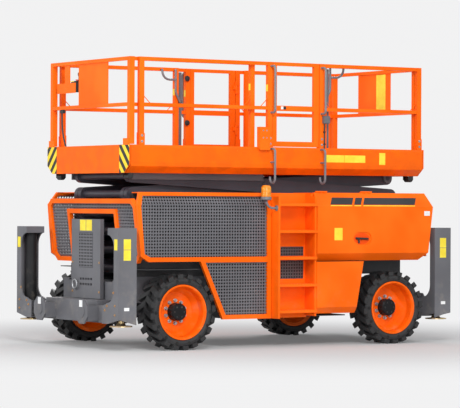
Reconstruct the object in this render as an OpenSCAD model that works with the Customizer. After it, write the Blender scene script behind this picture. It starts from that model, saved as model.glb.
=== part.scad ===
// Rough-terrain scissor lift: four wheels, four stabiliser legs, a five level
// scissor stack and a railed platform with two roll-out decks.
// +X points to the front, +Y to the left side, the ground is Z = 0.

/* [Wheels] */
// Distance of the wheel centres inside the ends of the chassis beams
wheel_in = 510; // [490:5:540]
// Outside diameter of a tyre over its lugs
tyre_d = 838; // [820:2:850]
// Width of a tyre over its lugs
tyre_w = 304; // [280:2:310]
// Distance between the outer faces of the left and right tyres
overall_w = 2356; // [2340:2:2400]
// Diameter of the rim's barrel under the tyre
barrel_d = 560; // [540:2:580]
// Height of the rim's lips above its barrel
lip_h = 25; // [20:1:30]
// Depth of the wheel disc behind the lip
dish_depth = 172; // [150:2:190]
// Diameter of the hub cap
hub_cap_d = 192; // [160:2:220]
// Height of the lugs above the carcass
lug_h = 34; // [20:1:40]
// Width of a lug round the tyre
lug_w = 66; // [50:1:76]
// Lugs round each half of a tyre
lug_count = 20; // [16:1:22]
// Slant of the lugs across the tread in degrees
lug_slant = 26; // [10:1:32]

/* [Axles and steering] */
// Distance of each kingpin inside the middle of its tyre
kingpin_inset = 156; // [150:1:170]
// Diameter of the kingpins
kingpin_d = 50; // [40:1:60]
// Diameter of the wheel spindles
spindle_d = 80; // [60:1:90]
// Diameter of the axle tubes
axle_d = 150; // [120:2:170]

/* [Chassis] */
// Length of the chassis beams
frame_l = 3880; // [3820:10:3900]
// Outer distance of the chassis beams from the middle
beam_y = 632; // [626:1:640]
// Width of each chassis beam
beam_w = 130; // [110:2:150]
// Underside of the chassis beams
beam_z = 505; // [500:5:520]
// Top of the chassis beams
beam_top = 760; // [740:5:775]

/* [Scissor stack] */
// Distance of the front pins from the front end of the chassis
pin_front_inset = 195; // [192:1:205]
// Distance of the rear pins from the rear end of the chassis
pin_rear_inset = 140; // [130:1:150]
// Height of the lowest pins
pin_base_z = 880; // [870:1:890]
// Rise of one level when stowed
level_rise = 210; // [205:1:215]
// Depth of an arm
arm_d = 160; // [140:2:180]
// Thickness of an arm
arm_t = 70; // [50:1:70]
// Outer face of the outer arms from the middle
arm_y = 600; // [598:1:602]
// Diameter of the pins
pin_d = 60; // [50:1:70]
// Diameter of the cross tubes
cross_d = 90; // [80:1:110]

/* [Lift cylinder] */
// Diameter of the barrel
lift_d = 130; // [100:2:150]
// Diameter of the piston rod
lift_rod_d = 80; // [60:1:90]
// Distance of the barrel's eye from the front end of its arm frame
lift_foot = 2500; // [2450:10:2550]
// Distance of the rod's eye from the front end of its arm frame
lift_head = 1100; // [1050:10:1150]

/* [Platform] */
// How much longer than the chassis the platform is between its end panels
platform_over = 100; // [80:5:120]
// Middle of the platform along the machine
platform_x = -20; // [-30:1:-10]
// Width over the platform's side panels
platform_w = 1890; // [1870:2:1900]
// Top of the side and end panels
toe_z = 2263; // [2250:1:2280]
// Bottom edge of the platform
platform_z = 1952; // [1945:1:1960]
// Top of the main floor
floor_z = 2105; // [2100:1:2110]
// Top of the guard rails
rail_top_z = 3233; // [3200:1:3260]
// Height of the mid rails as a share of the way from the toe boards to the top rails
mid_rail_share = 0.459; // [0.43:0.001:0.48]
// Size of the rail tubes
rail_t = 40; // [30:1:44]
// Size of the posts along the platform
post_t = 60; // [50:1:64]
// Front edge of the gates
gate_front_x = 92; // [80:1:96]
// Rear edge of the gates
gate_rear_x = -545; // [-546:1:-530]

/* [Side bodies] */
// Outer face of the mesh body from the middle
mesh_y = 1034; // [1020:1:1040]
// Size of the mesh frame's tubes
frame_t = 50; // [40:1:54]
// Top of the mesh body
mesh_top_z = 1742; // [1735:1:1750]
// Outer face of the rear covers from the middle
cover_y = 1160; // [1150:1:1168]
// Top of the rear covers
cover_top_z = 1749; // [1740:1:1755]
// Wall of the rear covers
cover_wall = 25; // [15:1:30]
// Front edge of the rear covers
cover_front_x = -360; // [-362:1:-352]

/* [Stabilisers] */
// Outer face of the stabiliser columns from the middle
column_y = 1178; // [1170:1:1190]
// Distance of the columns' far face from the end of the chassis
column_reach = 320; // [310:1:330]
// Size of a column along the machine
column_l = 232; // [225:1:240]
// Top of the columns
column_top_z = 1346; // [1330:1:1360]
// Plate thickness of the columns
column_t = 15; // [10:1:20]
// Diameter of a stabiliser foot
foot_d = 250; // [220:2:256]
// Height of the underside of a raised foot
foot_z = 268; // [262:1:269]
// Diameter of a stabiliser rod
leg_rod_d = 70; // [60:1:76]
// Diameter of a stabiliser cylinder
leg_cyl_d = 126; // [110:1:132]

/* [Fits] */
// Radial clearance of pins, rods and spindles in their bores
pin_clear = 0.3; // [0.2:0.05:0.5]
// Gap of pieces that slide past each other
slide_gap = 7; // [5:0.5:7]

/* [Hidden] */
$fn = 48;
tyre_r = tyre_d / 2;
half_l = frame_l / 2;
wheel_x = half_l - wheel_in;
wheel_y = overall_w / 2 - tyre_w / 2;
kingpin_y = wheel_y - kingpin_inset;
ear_d = 120;
pin_front_x = half_l - pin_front_inset;
pin_rear_x = pin_rear_inset - half_l;
arm_span = pin_front_x - pin_rear_x;
arm_len = sqrt(arm_span * arm_span + level_rise * level_rise);
stow_angle = atan(level_rise / arm_span);
inner_y = arm_y - arm_t - 10;
levels = 5;
top_pin_z = pin_base_z + levels * level_rise;
platform_l = frame_l + platform_over;
platform_front_x = platform_x + platform_l / 2;
platform_rear_x = platform_x - platform_l / 2;
side_y = platform_w / 2;
rail_h = rail_top_z - toe_z;
mid_rail_z = toe_z + mid_rail_share * rail_h;
orange = [1, 0.42, 0.03];
dark_grey = [0.36, 0.37, 0.39];
arm_grey = [0.2, 0.2, 0.24];
rubber = [0.05, 0.05, 0.06];
steel = [0.7, 0.7, 0.7];
zinc = [0.75, 0.6, 0.3];
amber = [1, 0.5, 0.05];

// Box between two corners
module slab(x0, x1, y0, y1, z0, z1) {
    translate([x0, y0, z0]) cube([x1 - x0, y1 - y0, z1 - z0]);
}

// The same thing on both sides of the machine
module both_sides() {
    children();
    mirror([0, 1, 0]) children();
}

// The same thing at both ends of the machine
module both_ends() {
    children();
    mirror([1, 0, 0]) children();
}

// On the left side for 1, on the right side for -1
module on_side(side) {
    if (side > 0) children();
    else mirror([0, 1, 0]) children();
}

// Outline in X and Z, given a thickness along Y
module side_plate(points, y0, y1) {
    translate([0, y1, 0]) rotate([90, 0, 0]) linear_extrude(y1 - y0) polygon(points);
}

// Outline in Y and Z, given a length along X
module end_plate(points, x0, x1) {
    translate([x0, 0, 0]) rotate([90, 0, 90]) linear_extrude(x1 - x0) polygon(points);
}

// Round bars along each axis
module bar_x(y, z, x0, x1, d) {
    translate([x0, y, z]) rotate([0, 90, 0]) cylinder(d = d, h = x1 - x0);
}
module bar_y(x, z, y0, y1, d) {
    translate([x, y0, z]) rotate([-90, 0, 0]) cylinder(d = d, h = y1 - y0);
}
module bar_z(x, y, z0, z1, d) {
    translate([x, y, z0]) cylinder(d = d, h = z1 - z0);
}

// Wheels: solid lugged tyres on deep dished rims, built round Z and then laid on their side
carcass_r = tyre_r - lug_h;
barrel_r = barrel_d / 2;
rim_r = barrel_r + lip_h;
bead_y = tyre_w / 2 - 24;
lip_y = tyre_w / 2 - 8;
disc_y = lip_y - dish_depth;
disc_t = 20;
hub_r = 100;
hub_back = ear_d / 2 + 8 - kingpin_inset;
lug_root = 14;
lug_overlap = 6;

module wheel_at(x, side) {
    translate([x, side * wheel_y, tyre_r]) rotate([-90 * side, 0, 0]) children();
}

module tyre_shape() {
    half = tyre_w / 2;
    lug_shift = half * tan(lug_slant);
    rotate_extrude() polygon([
        [barrel_r + pin_clear, -bead_y], [barrel_r + pin_clear, bead_y], [rim_r, half - 18],
        [rim_r + 8, half - 10], [rim_r + 36, half - 2], [carcass_r - 16, half - 6],
        [carcass_r, half - 34], [carcass_r, 34 - half], [carcass_r - 16, 6 - half],
        [rim_r + 36, 2 - half], [rim_r + 8, 10 - half], [rim_r, 18 - half]]);
    intersection() {
        cylinder(r = tyre_r, h = tyre_w, center = true);
        for (row = [0, 1]) {
            for (i = [0 : lug_count - 1]) {
                rotate([0, 0, 360 / lug_count * (i + row / 2)]) mirror([0, 0, row])
                    translate([carcass_r - lug_root, 0, 0]) rotate([90, 0, 90])
                    linear_extrude(lug_h + lug_root + 10) polygon([
                        [-lug_shift / 2 - lug_w / 2, -lug_overlap],
                        [-lug_shift / 2 + lug_w / 2, -lug_overlap],
                        [lug_shift / 2 + lug_w / 2, half], [lug_shift / 2 - lug_w / 2, half]]);
            }
        }
    }
}

module rim_shape() {
    spindle_bore = spindle_d / 2 + pin_clear;
    rotate_extrude() polygon([
        [spindle_bore, hub_back], [hub_r, hub_back], [hub_r, disc_y - disc_t],
        [barrel_r - 70, disc_y - disc_t], [barrel_r - 22, disc_y - 86], [barrel_r - 18, -lip_y],
        [rim_r, -lip_y], [rim_r, -lip_y + 8], [barrel_r, -bead_y - 2], [barrel_r, bead_y + 2],
        [rim_r, lip_y - 8], [rim_r, lip_y], [rim_r - 18, lip_y], [rim_r - 30, lip_y - 22],
        [barrel_r - 12, 40], [barrel_r - 62, disc_y], [hub_cap_d / 2, disc_y],
        [hub_cap_d / 2, disc_y + 86], [hub_cap_d / 2 - 12, disc_y + 98], [0, disc_y + 98],
        [0, disc_y - 34], [spindle_bore, disc_y - 34]]);
}

module tyre(x, side) {
    color(rubber) wheel_at(x, side) tyre_shape();
}
module rim(x, side) {
    color(orange) wheel_at(x, side) rim_shape();
}

// Axles: tubes under the chassis, with kingpin yokes in front and fixed spindles behind
yoke_h = 166;
ear_t = 30;
knuckle_d = 110;
ear_gap = 3;
spindle_end = wheel_y + disc_y - 36;

module axles() {
    color(arm_grey) {
        both_sides() {
            bar_y(-wheel_x, tyre_r, -1, wheel_y + hub_back - 5, axle_d);
            bar_y(-wheel_x, tyre_r, 0, spindle_end, spindle_d);
            bar_y(wheel_x, tyre_r, -1, kingpin_y - 100, axle_d);
            difference() {
                union() {
                    slab(wheel_x - ear_d / 2, wheel_x + ear_d / 2, kingpin_y - 130, kingpin_y,
                        tyre_r - yoke_h / 2, tyre_r + yoke_h / 2);
                    bar_z(wheel_x, kingpin_y, tyre_r - yoke_h / 2, tyre_r + yoke_h / 2, ear_d);
                }
                slab(wheel_x - ear_d, wheel_x + ear_d, kingpin_y - 72, kingpin_y + ear_d,
                    tyre_r - yoke_h / 2 + ear_t, tyre_r + yoke_h / 2 - ear_t);
            }
            bar_z(wheel_x, kingpin_y, tyre_r - yoke_h / 2, tyre_r + yoke_h / 2, kingpin_d);
            both_ends() slab(wheel_x - 90, wheel_x + 90, beam_y - beam_w, beam_y - beam_w / 2,
                tyre_r, beam_z);
        }
        both_ends() bar_y(wheel_x, tyre_r, -190, 190, axle_d + 50);
    }
}

module knuckle(side) {
    color(arm_grey) on_side(side) difference() {
        union() {
            bar_z(wheel_x, kingpin_y, tyre_r - yoke_h / 2 + ear_t + ear_gap,
                tyre_r + yoke_h / 2 - ear_t - ear_gap, knuckle_d);
            bar_y(wheel_x, tyre_r, kingpin_y, spindle_end, spindle_d);
        }
        bar_z(wheel_x, kingpin_y, 0, tyre_d, kingpin_d + 2 * pin_clear);
    }
}

// Chassis: two box beams with cross members, pivot lugs behind and slide channels in front
roller_d = 70;
roller_y0 = arm_y + 12;
roller_y1 = roller_y0 + 28;
channel_wall = 8;
channel_y0 = arm_y + 6;
channel_y1 = roller_y1 + pin_clear + channel_wall;
channel_x0 = 40;
channel_x1 = pin_front_x + 90;
lug_t = 20;

// Channel along X that guides a roller
module slide_channel(z, z0, z1) {
    difference() {
        slab(channel_x0, channel_x1, channel_y0, channel_y1, z0, z1);
        slab(channel_x0 - 1, channel_x1 + 1, channel_y0 - 1, roller_y1 + pin_clear,
            z - roller_d / 2 - pin_clear, z + roller_d / 2 + pin_clear);
    }
}

module chassis_frame() {
    color(dark_grey) {
        both_sides() {
            slab(-half_l, half_l, beam_y - beam_w, beam_y, beam_z, beam_top);
            slide_channel(pin_base_z, beam_top - 1, pin_base_z + roller_d / 2 + 12);
            for (y = [arm_y + 6, arm_y - arm_t - 6 - lug_t]) {
                slab(pin_rear_x - 60, pin_rear_x + 60, y, y + lug_t, beam_top - 1, pin_base_z);
                bar_y(pin_rear_x, pin_base_z, y, y + lug_t, 120);
            }
            bar_y(pin_rear_x, pin_base_z, arm_y - arm_t - 7, arm_y + 7, pin_d);
        }
        for (x = [-half_l, -wheel_x - 80, -80, wheel_x - 80, half_l - 160]) {
            slab(x, x + 160, beam_w - beam_y, beam_y - beam_w, beam_z + 20, beam_top - 20);
        }
    }
}

// Scissor arms: outer arms in pairs, inner arms as frames whose cross tubes end in pins
function level_z(n) = pin_base_z + n * level_rise;
retainer_t = 8;

module arm_outline() {
    translate([0, -arm_d / 2]) square([arm_len, arm_d]);
    circle(d = arm_d);
    translate([arm_len, 0]) circle(d = arm_d);
}
module arm_plate(y0, y1) {
    translate([0, y1, 0]) rotate([90, 0, 0]) linear_extrude(y1 - y0) arm_outline();
}
module arm_bore(s) {
    bar_y(s, 0, 0, arm_y + 50, pin_d + 2 * pin_clear);
}

module outer_arms(n) {
    last = n == levels - 1;
    color(arm_grey) translate([pin_rear_x, 0, level_z(n)]) rotate([0, -stow_angle, 0]) {
        both_sides() difference() {
            arm_plate(arm_y - arm_t, arm_y);
            arm_bore(0);
            arm_bore(arm_len / 2);
            if (!last) arm_bore(arm_len);
        }
        if (last) {
            bar_y(arm_len, 0, arm_t - arm_y, arm_y - arm_t, cross_d);
            both_sides() bar_y(arm_len, 0, arm_y - 1, roller_y1, pin_d);
            both_sides() bar_y(arm_len, 0, roller_y0, roller_y1, roller_d);
        }
    }
}

module inner_stub(s, y1) {
    bar_y(s, 0, inner_y - 1, y1, pin_d);
}
module stub_retainer(s) {
    bar_y(s, 0, arm_y + pin_clear, arm_y + pin_clear + retainer_t, pin_d + 36);
}

module inner_arms(n) {
    first = n == 0;
    last = n == levels - 1;
    stub_y = arm_y + pin_clear + 1;
    color(arm_grey) translate([pin_rear_x, 0, level_z(n + 1)]) rotate([0, stow_angle, 0]) {
        both_sides() {
            arm_plate(inner_y - arm_t, inner_y);
            inner_stub(0, last ? inner_y + 4 + lug_t : stub_y);
            inner_stub(arm_len / 2, stub_y);
            inner_stub(arm_len, first ? roller_y1 : stub_y);
            if (!last) stub_retainer(0);
            stub_retainer(arm_len / 2);
            if (!first) stub_retainer(arm_len);
            if (first) bar_y(arm_len, 0, roller_y0, roller_y1, roller_d);
        }
        for (s = [0, arm_len]) bar_y(s, 0, arm_t - inner_y, inner_y - arm_t, cross_d);
        if (n == lift_level) bar_y(arm_len - lift_foot, 0, arm_t - inner_y, inner_y - arm_t, lift_pin_d);
        if (n == lift_level + 1) both_sides() {
            bar_y(arm_len - lift_head, 0, lift_eye_w + 15, inner_y - arm_t + 1, lift_pin_d);
            bar_y(arm_len - lift_head, 0, lift_eye_w + 15, lift_eye_w + 35, lift_pin_d + 60);
        }
    }
}

// Lift cylinder: from the second arm frame up to the third
lift_level = 1;
lift_pin_d = 70;
lift_eye_w = 55;
lift_foot_x = pin_front_x - lift_foot * cos(stow_angle);
lift_foot_z = level_z(lift_level) + lift_foot * sin(stow_angle);
lift_head_x = pin_front_x - lift_head * cos(stow_angle);
lift_head_z = level_z(lift_level + 1) + lift_head * sin(stow_angle);
lift_angle = atan2(lift_head_z - lift_foot_z, lift_head_x - lift_foot_x);
lift_len = norm([lift_head_x - lift_foot_x, lift_head_z - lift_foot_z]);
lift_barrel_end = lift_len - 240;
lift_stop = 110;

module along_lift() {
    translate([lift_foot_x, 0, lift_foot_z]) rotate([0, -lift_angle, 0]) children();
}

module lift_barrel() {
    color(arm_grey) along_lift() difference() {
        union() {
            bar_y(0, 0, -lift_eye_w, lift_eye_w, lift_pin_d + 70);
            bar_x(0, 0, 20, lift_barrel_end, lift_d);
        }
        bar_y(0, 0, -lift_d, lift_d, lift_pin_d + 2 * pin_clear);
        bar_x(0, 0, lift_stop, lift_barrel_end + 1, lift_rod_d + 2 * pin_clear);
    }
}

module lift_rod() {
    color(steel) along_lift() difference() {
        union() {
            bar_x(0, 0, lift_stop + 20, lift_len, lift_rod_d);
            bar_y(lift_len, 0, -lift_eye_w, lift_eye_w, lift_pin_d + 60);
        }
        bar_y(lift_len, 0, -lift_eye_w - 1, lift_eye_w + 1, lift_pin_d);
    }
}

// Stabilisers: C shaped columns at the ends of a beam, with a hydraulic leg in each
column_x = half_l + column_reach;
column_x0 = column_x - column_l;
leg_x = column_x0 + column_l / 2;
leg_y = column_y - column_t - foot_d / 2 + 5;
column_depth = 233;
column_neck = 97;
neck_r = 136;
column_foot_z = 345;
beam_low_z = 300;
beam_high_z = 490;
beam_x0 = column_x0 + 30;
beam_x1 = column_x0 + 160;
boss_y = 491;
boss_d = 270;
boss_x = column_x + 70;

// Outline of a column's front and rear plates, in Y and Z
module column_outline() {
    neck_y = column_y - column_neck;
    difference() {
        polygon([
            [column_y, column_foot_z], [column_y, column_top_z],
            [column_y - column_depth, column_top_z], [column_y - column_depth, beam_high_z + 40],
            [column_y - column_depth - 120, beam_high_z],
            [column_y - column_depth - 120, beam_low_z], [column_y - column_depth, beam_low_z]]);
        translate([neck_y - 300, beam_high_z + 40 + neck_r])
            square([300, column_top_z - 75 - beam_high_z - 40 - 2 * neck_r]);
        for (z = [beam_high_z + 40 + neck_r, column_top_z - 75 - neck_r]) {
            translate([neck_y - neck_r, z]) circle(r = neck_r);
        }
    }
}

module stabiliser_frames() {
    color(dark_grey) both_ends() {
        slab(beam_x0, beam_x1, -leg_y + 100, leg_y - 100, beam_low_z, beam_high_z);
        both_sides() {
            for (x = [column_x0, column_x - column_t]) {
                translate([x, 0, 0]) rotate([90, 0, 90]) linear_extrude(column_t) column_outline();
            }
            side_plate([[column_x0, foot_z + 23], [column_x, foot_z + 87], [column_x, column_top_z],
                [column_x0, column_top_z]], column_y - column_t, column_y);
            slab(column_x0, column_x, column_y - column_depth, column_y,
                column_top_z - column_t, column_top_z);
            slab(column_x0, column_x, column_y - column_depth, column_y - column_depth + column_t,
                column_top_z - 75, column_top_z);
            slab(beam_x0, column_x, column_y - column_depth - 120, column_y - column_depth - 20,
                beam_low_z, beam_low_z + column_t);
            for (y = [boss_y - boss_d / 2, boss_y + boss_d / 2 - column_t]) {
                slab(beam_x1 - 1, boss_x - column_t + 1, y, y + column_t, beam_low_z + 20, beam_high_z);
            }
            translate([boss_x - column_t, boss_y, (beam_low_z + beam_high_z) / 2 + 25])
                rotate([0, 90, 0]) rotate([0, 0, 22.5])
                cylinder(d = boss_d / cos(22.5), h = column_t, $fn = 8);
            bar_x(boss_y, (beam_low_z + beam_high_z) / 2 + 25, boss_x - 1, boss_x + 5, boss_d / 2);
        }
        slab(half_l, beam_x1, 40 - beam_y, beam_y - 40, beam_high_z - 60, beam_high_z + 50);
    }
}

leg_cyl_z0 = 470;
leg_cyl_z1 = column_top_z - column_t;

module leg_cylinders() {
    color(rubber) both_ends() both_sides() difference() {
        bar_z(leg_x, leg_y, leg_cyl_z0, leg_cyl_z1, leg_cyl_d);
        bar_z(leg_x, leg_y, leg_cyl_z0 - 1, leg_cyl_z1 - 60, leg_rod_d + 2 * pin_clear);
    }
}

module leg(x, side) {
    color(zinc) translate([x * leg_x, side * leg_y, 0]) {
        bar_z(0, 0, foot_z + 10, leg_cyl_z1 - 90, leg_rod_d);
        translate([0, 0, foot_z]) rotate_extrude() polygon([
            [0, 0], [foot_d / 2, 0], [foot_d / 2, 12], [foot_d / 2 - 20, 14],
            [leg_rod_d / 2 + 22, 18], [leg_rod_d / 2 + 8, 40], [0, 40]]);
    }
}

// Mesh body: tube frames round wire mesh, across the front and along both sides
front_x = half_l + 10;
front_low_x = half_l - 60;
front_low_z = 1035;
front_foot_z = 950;
front_bend_z = 1590;
front_chamfer = 74;
front_step = 90;
notch_y = 509;
notch_z = 1505;
front_top_z = 1669;
side_rear_x = 180;
side_low_x = half_l - 149;
side_knee_x = half_l - 48;
side_front_x = half_l;
side_top_x = half_l - 72;
side_low_z = 972;
side_bend_z = mesh_top_z - 142;
slant_top_x = wheel_x - 311;
slant_low_x = wheel_x - 605;
lower_z = 322;
wall_y = 655;
wall_t = 10;
mesh_t = 6;
hood_y = mesh_y - front_chamfer;
hood_t = 12;
side_t = 40;
tray_front_x = half_l - 150;
front_half = mesh_y - side_t + 2;

// Front frame: a tube round the mesh, with the notch for the cover left open below
module front_outline(s) {
    half = front_half;
    polygon([
        [half - s, front_low_z + s / 3], [half - s, front_bend_z - s / 3],
        [half - front_chamfer - s / 2, front_top_z - s], [front_chamfer + s / 2 - half, front_top_z - s],
        [s - half, front_bend_z - s / 3], [s - half, front_low_z + s / 3],
        [s / 2 - half + front_step, front_foot_z + s], [-notch_y - s, front_foot_z + s],
        [-notch_y - s, notch_z + s], [notch_y + s, notch_z + s],
        [notch_y + s, front_foot_z + s], [half - front_step - s / 2, front_foot_z + s]]);
}
front_lean = atan((front_x - front_low_x) / (front_bend_z - front_low_z));
module front_plane(t0, t1) {
    translate([front_low_x, 0, front_low_z]) rotate([0, front_lean, 0])
        translate([t0, 0, -front_low_z]) rotate([90, 0, 90]) linear_extrude(t1 - t0) children();
}
module side_plane(y0, y1) {
    translate([0, y1, 0]) rotate([90, 0, 0]) linear_extrude(y1 - y0) children();
}

// Lower side frame between the front wheel and the ladder, in X and Z
module lower_outline(s) {
    top = side_low_z + 1;
    polygon([
        [side_rear_x + s, lower_z + s], [slant_low_x - s * 0.75, lower_z + s],
        [slant_top_x - s * 1.25, top - s / 4], [side_rear_x + s, top - s / 4]]);
}
// Upper side frame above the wheel
module upper_outline(s) {
    polygon([
        [side_rear_x + s, side_low_z + s], [side_low_x - s / 2, side_low_z + s],
        [side_knee_x - s, front_low_z + s / 2], [side_front_x - s, side_bend_z - s / 4],
        [side_top_x - s / 2, mesh_top_z - s * 0.8], [side_rear_x + s, mesh_top_z - s * 0.8]]);
}
// Bent sheet that the upper frame and its mesh are cut from, between two depths below its face
module upper_section(d0, d1) {
    end_plate([[mesh_y - d0, side_low_z - 1], [mesh_y - d0, side_bend_z], [hood_y - d0, mesh_top_z],
        [hood_y - d1, mesh_top_z], [mesh_y - d1, side_bend_z], [mesh_y - d1, side_low_z - 1]],
        side_rear_x - 1, side_front_x + 1);
}

module body_frame() {
    color(orange) {
        front_plane(-frame_t, 0) difference() {
            front_outline(0);
            front_outline(frame_t);
        }
        both_sides() {
            side_plane(mesh_y - side_t, mesh_y) difference() {
                lower_outline(0);
                lower_outline(frame_t);
            }
            intersection() {
                upper_section(0, side_t);
                side_plane(0, overall_w) difference() {
                    upper_outline(0);
                    upper_outline(frame_t);
                }
            }
            slab(side_rear_x, tray_front_x, wall_y, hood_y - side_t + 1, mesh_top_z - hood_t, mesh_top_z);
            slab(tray_front_x, front_low_x - 40, wall_y, wall_y + wall_t, front_foot_z, front_foot_z + 50);
            slab(tray_front_x, front_x - 30, wall_y, wall_y + wall_t, front_top_z - 50, front_top_z - 2);
        }
    }
}

module grilles() {
    color(dark_grey) {
        front_plane(-frame_t / 2 - mesh_t, -frame_t / 2) front_outline(frame_t);
        both_sides() {
            side_plane(mesh_y - side_t / 2 - mesh_t, mesh_y - side_t / 2) lower_outline(frame_t);
            intersection() {
                upper_section(side_t / 2, side_t / 2 + mesh_t);
                side_plane(0, overall_w) upper_outline(frame_t);
            }
        }
    }
}

// Hinge along X on top of a lid: five barrels, the even ones on the fixed edge
hinge_d = 18;
hinge_leaf = 30;
hinge_t = 5;
hinge_lift = 10;
module hinge_strip(x0, x1, y, z, moving) {
    pitch = (x1 - x0) / 5;
    for (i = [moving : 2 : 4]) {
        bar_x(y, z + hinge_lift, x0 + i * pitch + pin_clear, x0 + (i + 1) * pitch - pin_clear, hinge_d);
        translate([x0 + i * pitch + pin_clear, moving == 1 ? y : y - hinge_leaf, z])
            cube([pitch - 2 * pin_clear, hinge_leaf, hinge_t]);
    }
}

// Vented grey cover in the notch of the front frame
cover_half = 330;
cover_low_z = 546;
cover_high_z = 1437;
front_cover_x = half_l + 18;
front_cover_t = 45;

module front_cover() {
    color(dark_grey) difference() {
        union() {
            slab(front_cover_x, front_cover_x + front_cover_t, -cover_half, cover_half,
                cover_low_z, cover_high_z);
            slab(half_l, front_cover_x + 1, 40 - cover_half, cover_half - 40,
                cover_low_z + 20, beam_top - 20);
        }
        for (i = [-7 : 7]) {
            slab(front_cover_x + 12, front_cover_x + front_cover_t + 1, i * 22 - 6, i * 22 + 6, 890, 1290);
        }
        for (j = [0, 1]) {
            for (i = [-2 : 2]) {
                slab(front_cover_x + 12, front_cover_x + front_cover_t + 1, i * 60 - 22, i * 60 + 22,
                    690 + j * 60, 715 + j * 60);
            }
        }
    }
}

// Side trays: inner walls and floors that carry the engine, the covers and the ladders
tray_z = 330;
tray_rear_x = 40 - half_l;
tray_back_x = 520 - wheel_x;
tray_t = 12;
tray_wall_z = 800;
shelf_z = 985;
shelf_t = 15;
liner_z = tyre_d + 42;
liner_t = 10;
module side_trays() {
    color(dark_grey) both_sides() {
        slab(tray_rear_x, tray_front_x, wall_y, wall_y + wall_t, tray_wall_z, mesh_top_z - hood_t);
        slab(tray_back_x, slant_low_x - 23, wall_y, wall_y + wall_t, tray_z, tray_wall_z + 1);
        slab(tray_back_x, ladder_x1 + 1, wall_y, step_back_y - 12, tray_z, tray_z + tray_t);
        slab(ladder_x1, slant_low_x - 40, wall_y, mesh_y - side_t, tray_z, tray_z + tray_t);
        slab(tray_back_x, slant_low_x - 40, beam_y, wall_y + 1, beam_z + 40, beam_z + 120);
        slab(tray_rear_x + 30, cover_front_x - 10, wall_y, cover_hinge_y - 8, shelf_z, shelf_z + shelf_t);
        slab(wheel_x - 330, tray_front_x, wall_y, mesh_y - side_t - 12, liner_z, liner_z + liner_t);
    }
}

engine_top_z = 1150;
module engine() {
    color(arm_grey) slab(side_rear_x + 60, slant_low_x - 63, wall_y + wall_t, mesh_y - side_t - 34,
        tray_z + tray_t, engine_top_z);
}

// Ladders: orange steps in the recess between the mesh body and the rear cover
ladder_x0 = cover_front_x;
ladder_x1 = 172;
step_y = 1170;
step_t = 30;
step_back_y = 950;
step_tops = [413, 710, 1018, 1320, 1623];
module ladders() {
    color(orange) both_sides() {
        slab(ladder_x1 - 24, ladder_x1, step_back_y, step_y, lower_z, mesh_top_z - 40);
        slab(ladder_x0, ladder_x1, step_back_y - 12, step_back_y, lower_z, mesh_top_z);
        slab(ladder_x0, ladder_x0 + 24, step_back_y, step_y - 20, lower_z + 20, mesh_top_z - 40);
        for (z = step_tops) {
            slab(ladder_x0, ladder_x1 - 1, step_back_y - 1, step_y, z - step_t, z);
        }
        slab(ladder_x0, ladder_x1, wall_y + wall_t, step_back_y - 11, mesh_top_z - 12, mesh_top_z);
    }
}

// Rear covers: chamfered lids hung along their top inner edge, over fixed lower panels
cover_bend_z = 1589;
cover_low_bend_z = 1055;
cover_bottom_z = 968;
cover_hinge_y = cover_y - 92;
cover_low_x = half_l - 91;
cover_knee_x = half_l + 4;
cover_rear_x = half_l + 70;
cover_back_x = half_l - 1;
panel_rear_x = 510 - wheel_x;
latch_x = -994;
latch_z = 1223;
hinge_l = 160;
cover_hinges = [cover_front_x - 830, cover_front_x - 200];
module cover_outline(s) {
    polygon([
        [cover_front_x - slide_gap - s, cover_bottom_z + s], [s / 2 - cover_low_x, cover_bottom_z + s],
        [s - cover_knee_x, cover_low_bend_z + s / 2], [s - cover_rear_x, cover_bend_z - s / 2],
        [s / 2 - cover_back_x, cover_top_z - s], [cover_front_x - slide_gap - s, cover_top_z - s]]);
}
module cover_section(s) {
    end_plate([[cover_hinge_y, cover_bottom_z], [cover_y - 80 - s, cover_bottom_z],
        [cover_y - s, cover_low_bend_z],
        [cover_y - s, cover_bend_z], [cover_y - 80 - s, cover_top_z], [cover_hinge_y, cover_top_z]],
        -cover_rear_x - 90, cover_front_x + 1);
}
// Bent skin of a cover, in Y and Z
module cover_skin() {
    w = cover_wall;
    end_plate([[cover_y - 80 - w, cover_bottom_z], [cover_y - 80, cover_bottom_z],
        [cover_y, cover_low_bend_z],
        [cover_y, cover_bend_z], [cover_y - 80, cover_top_z], [cover_hinge_y, cover_top_z],
        [cover_hinge_y, cover_top_z - w], [cover_y - 80 - w / 2, cover_top_z - w],
        [cover_y - w, cover_bend_z - w / 4], [cover_y - w, cover_low_bend_z + w / 4]],
        -cover_rear_x - 90, cover_front_x + 1);
}
module rear_cover(side) {
    color(orange) on_side(side) {
        difference() {
            intersection() {
                cover_skin();
                side_plane(0, overall_w) cover_outline(0);
            }
            translate([latch_x, cover_y - 14, latch_z]) rotate([-90, 0, 0]) latch_pocket();
        }
        intersection() {
            cover_section(1);
            side_plane(0, overall_w) difference() {
                cover_outline(0);
                cover_outline(cover_wall);
            }
        }
        for (x = cover_hinges) hinge_strip(x, x + hinge_l, cover_hinge_y - slide_gap / 2, cover_top_z, 1);
    }
}
// Oval recess for a cover's latch
module latch_pocket() {
    slab(-55, 55, -75, 75, 0, 20);
    for (x = [-55, 55]) {
        translate([x, 0, 0]) cylinder(r = 75, h = 20);
    }
}

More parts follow.
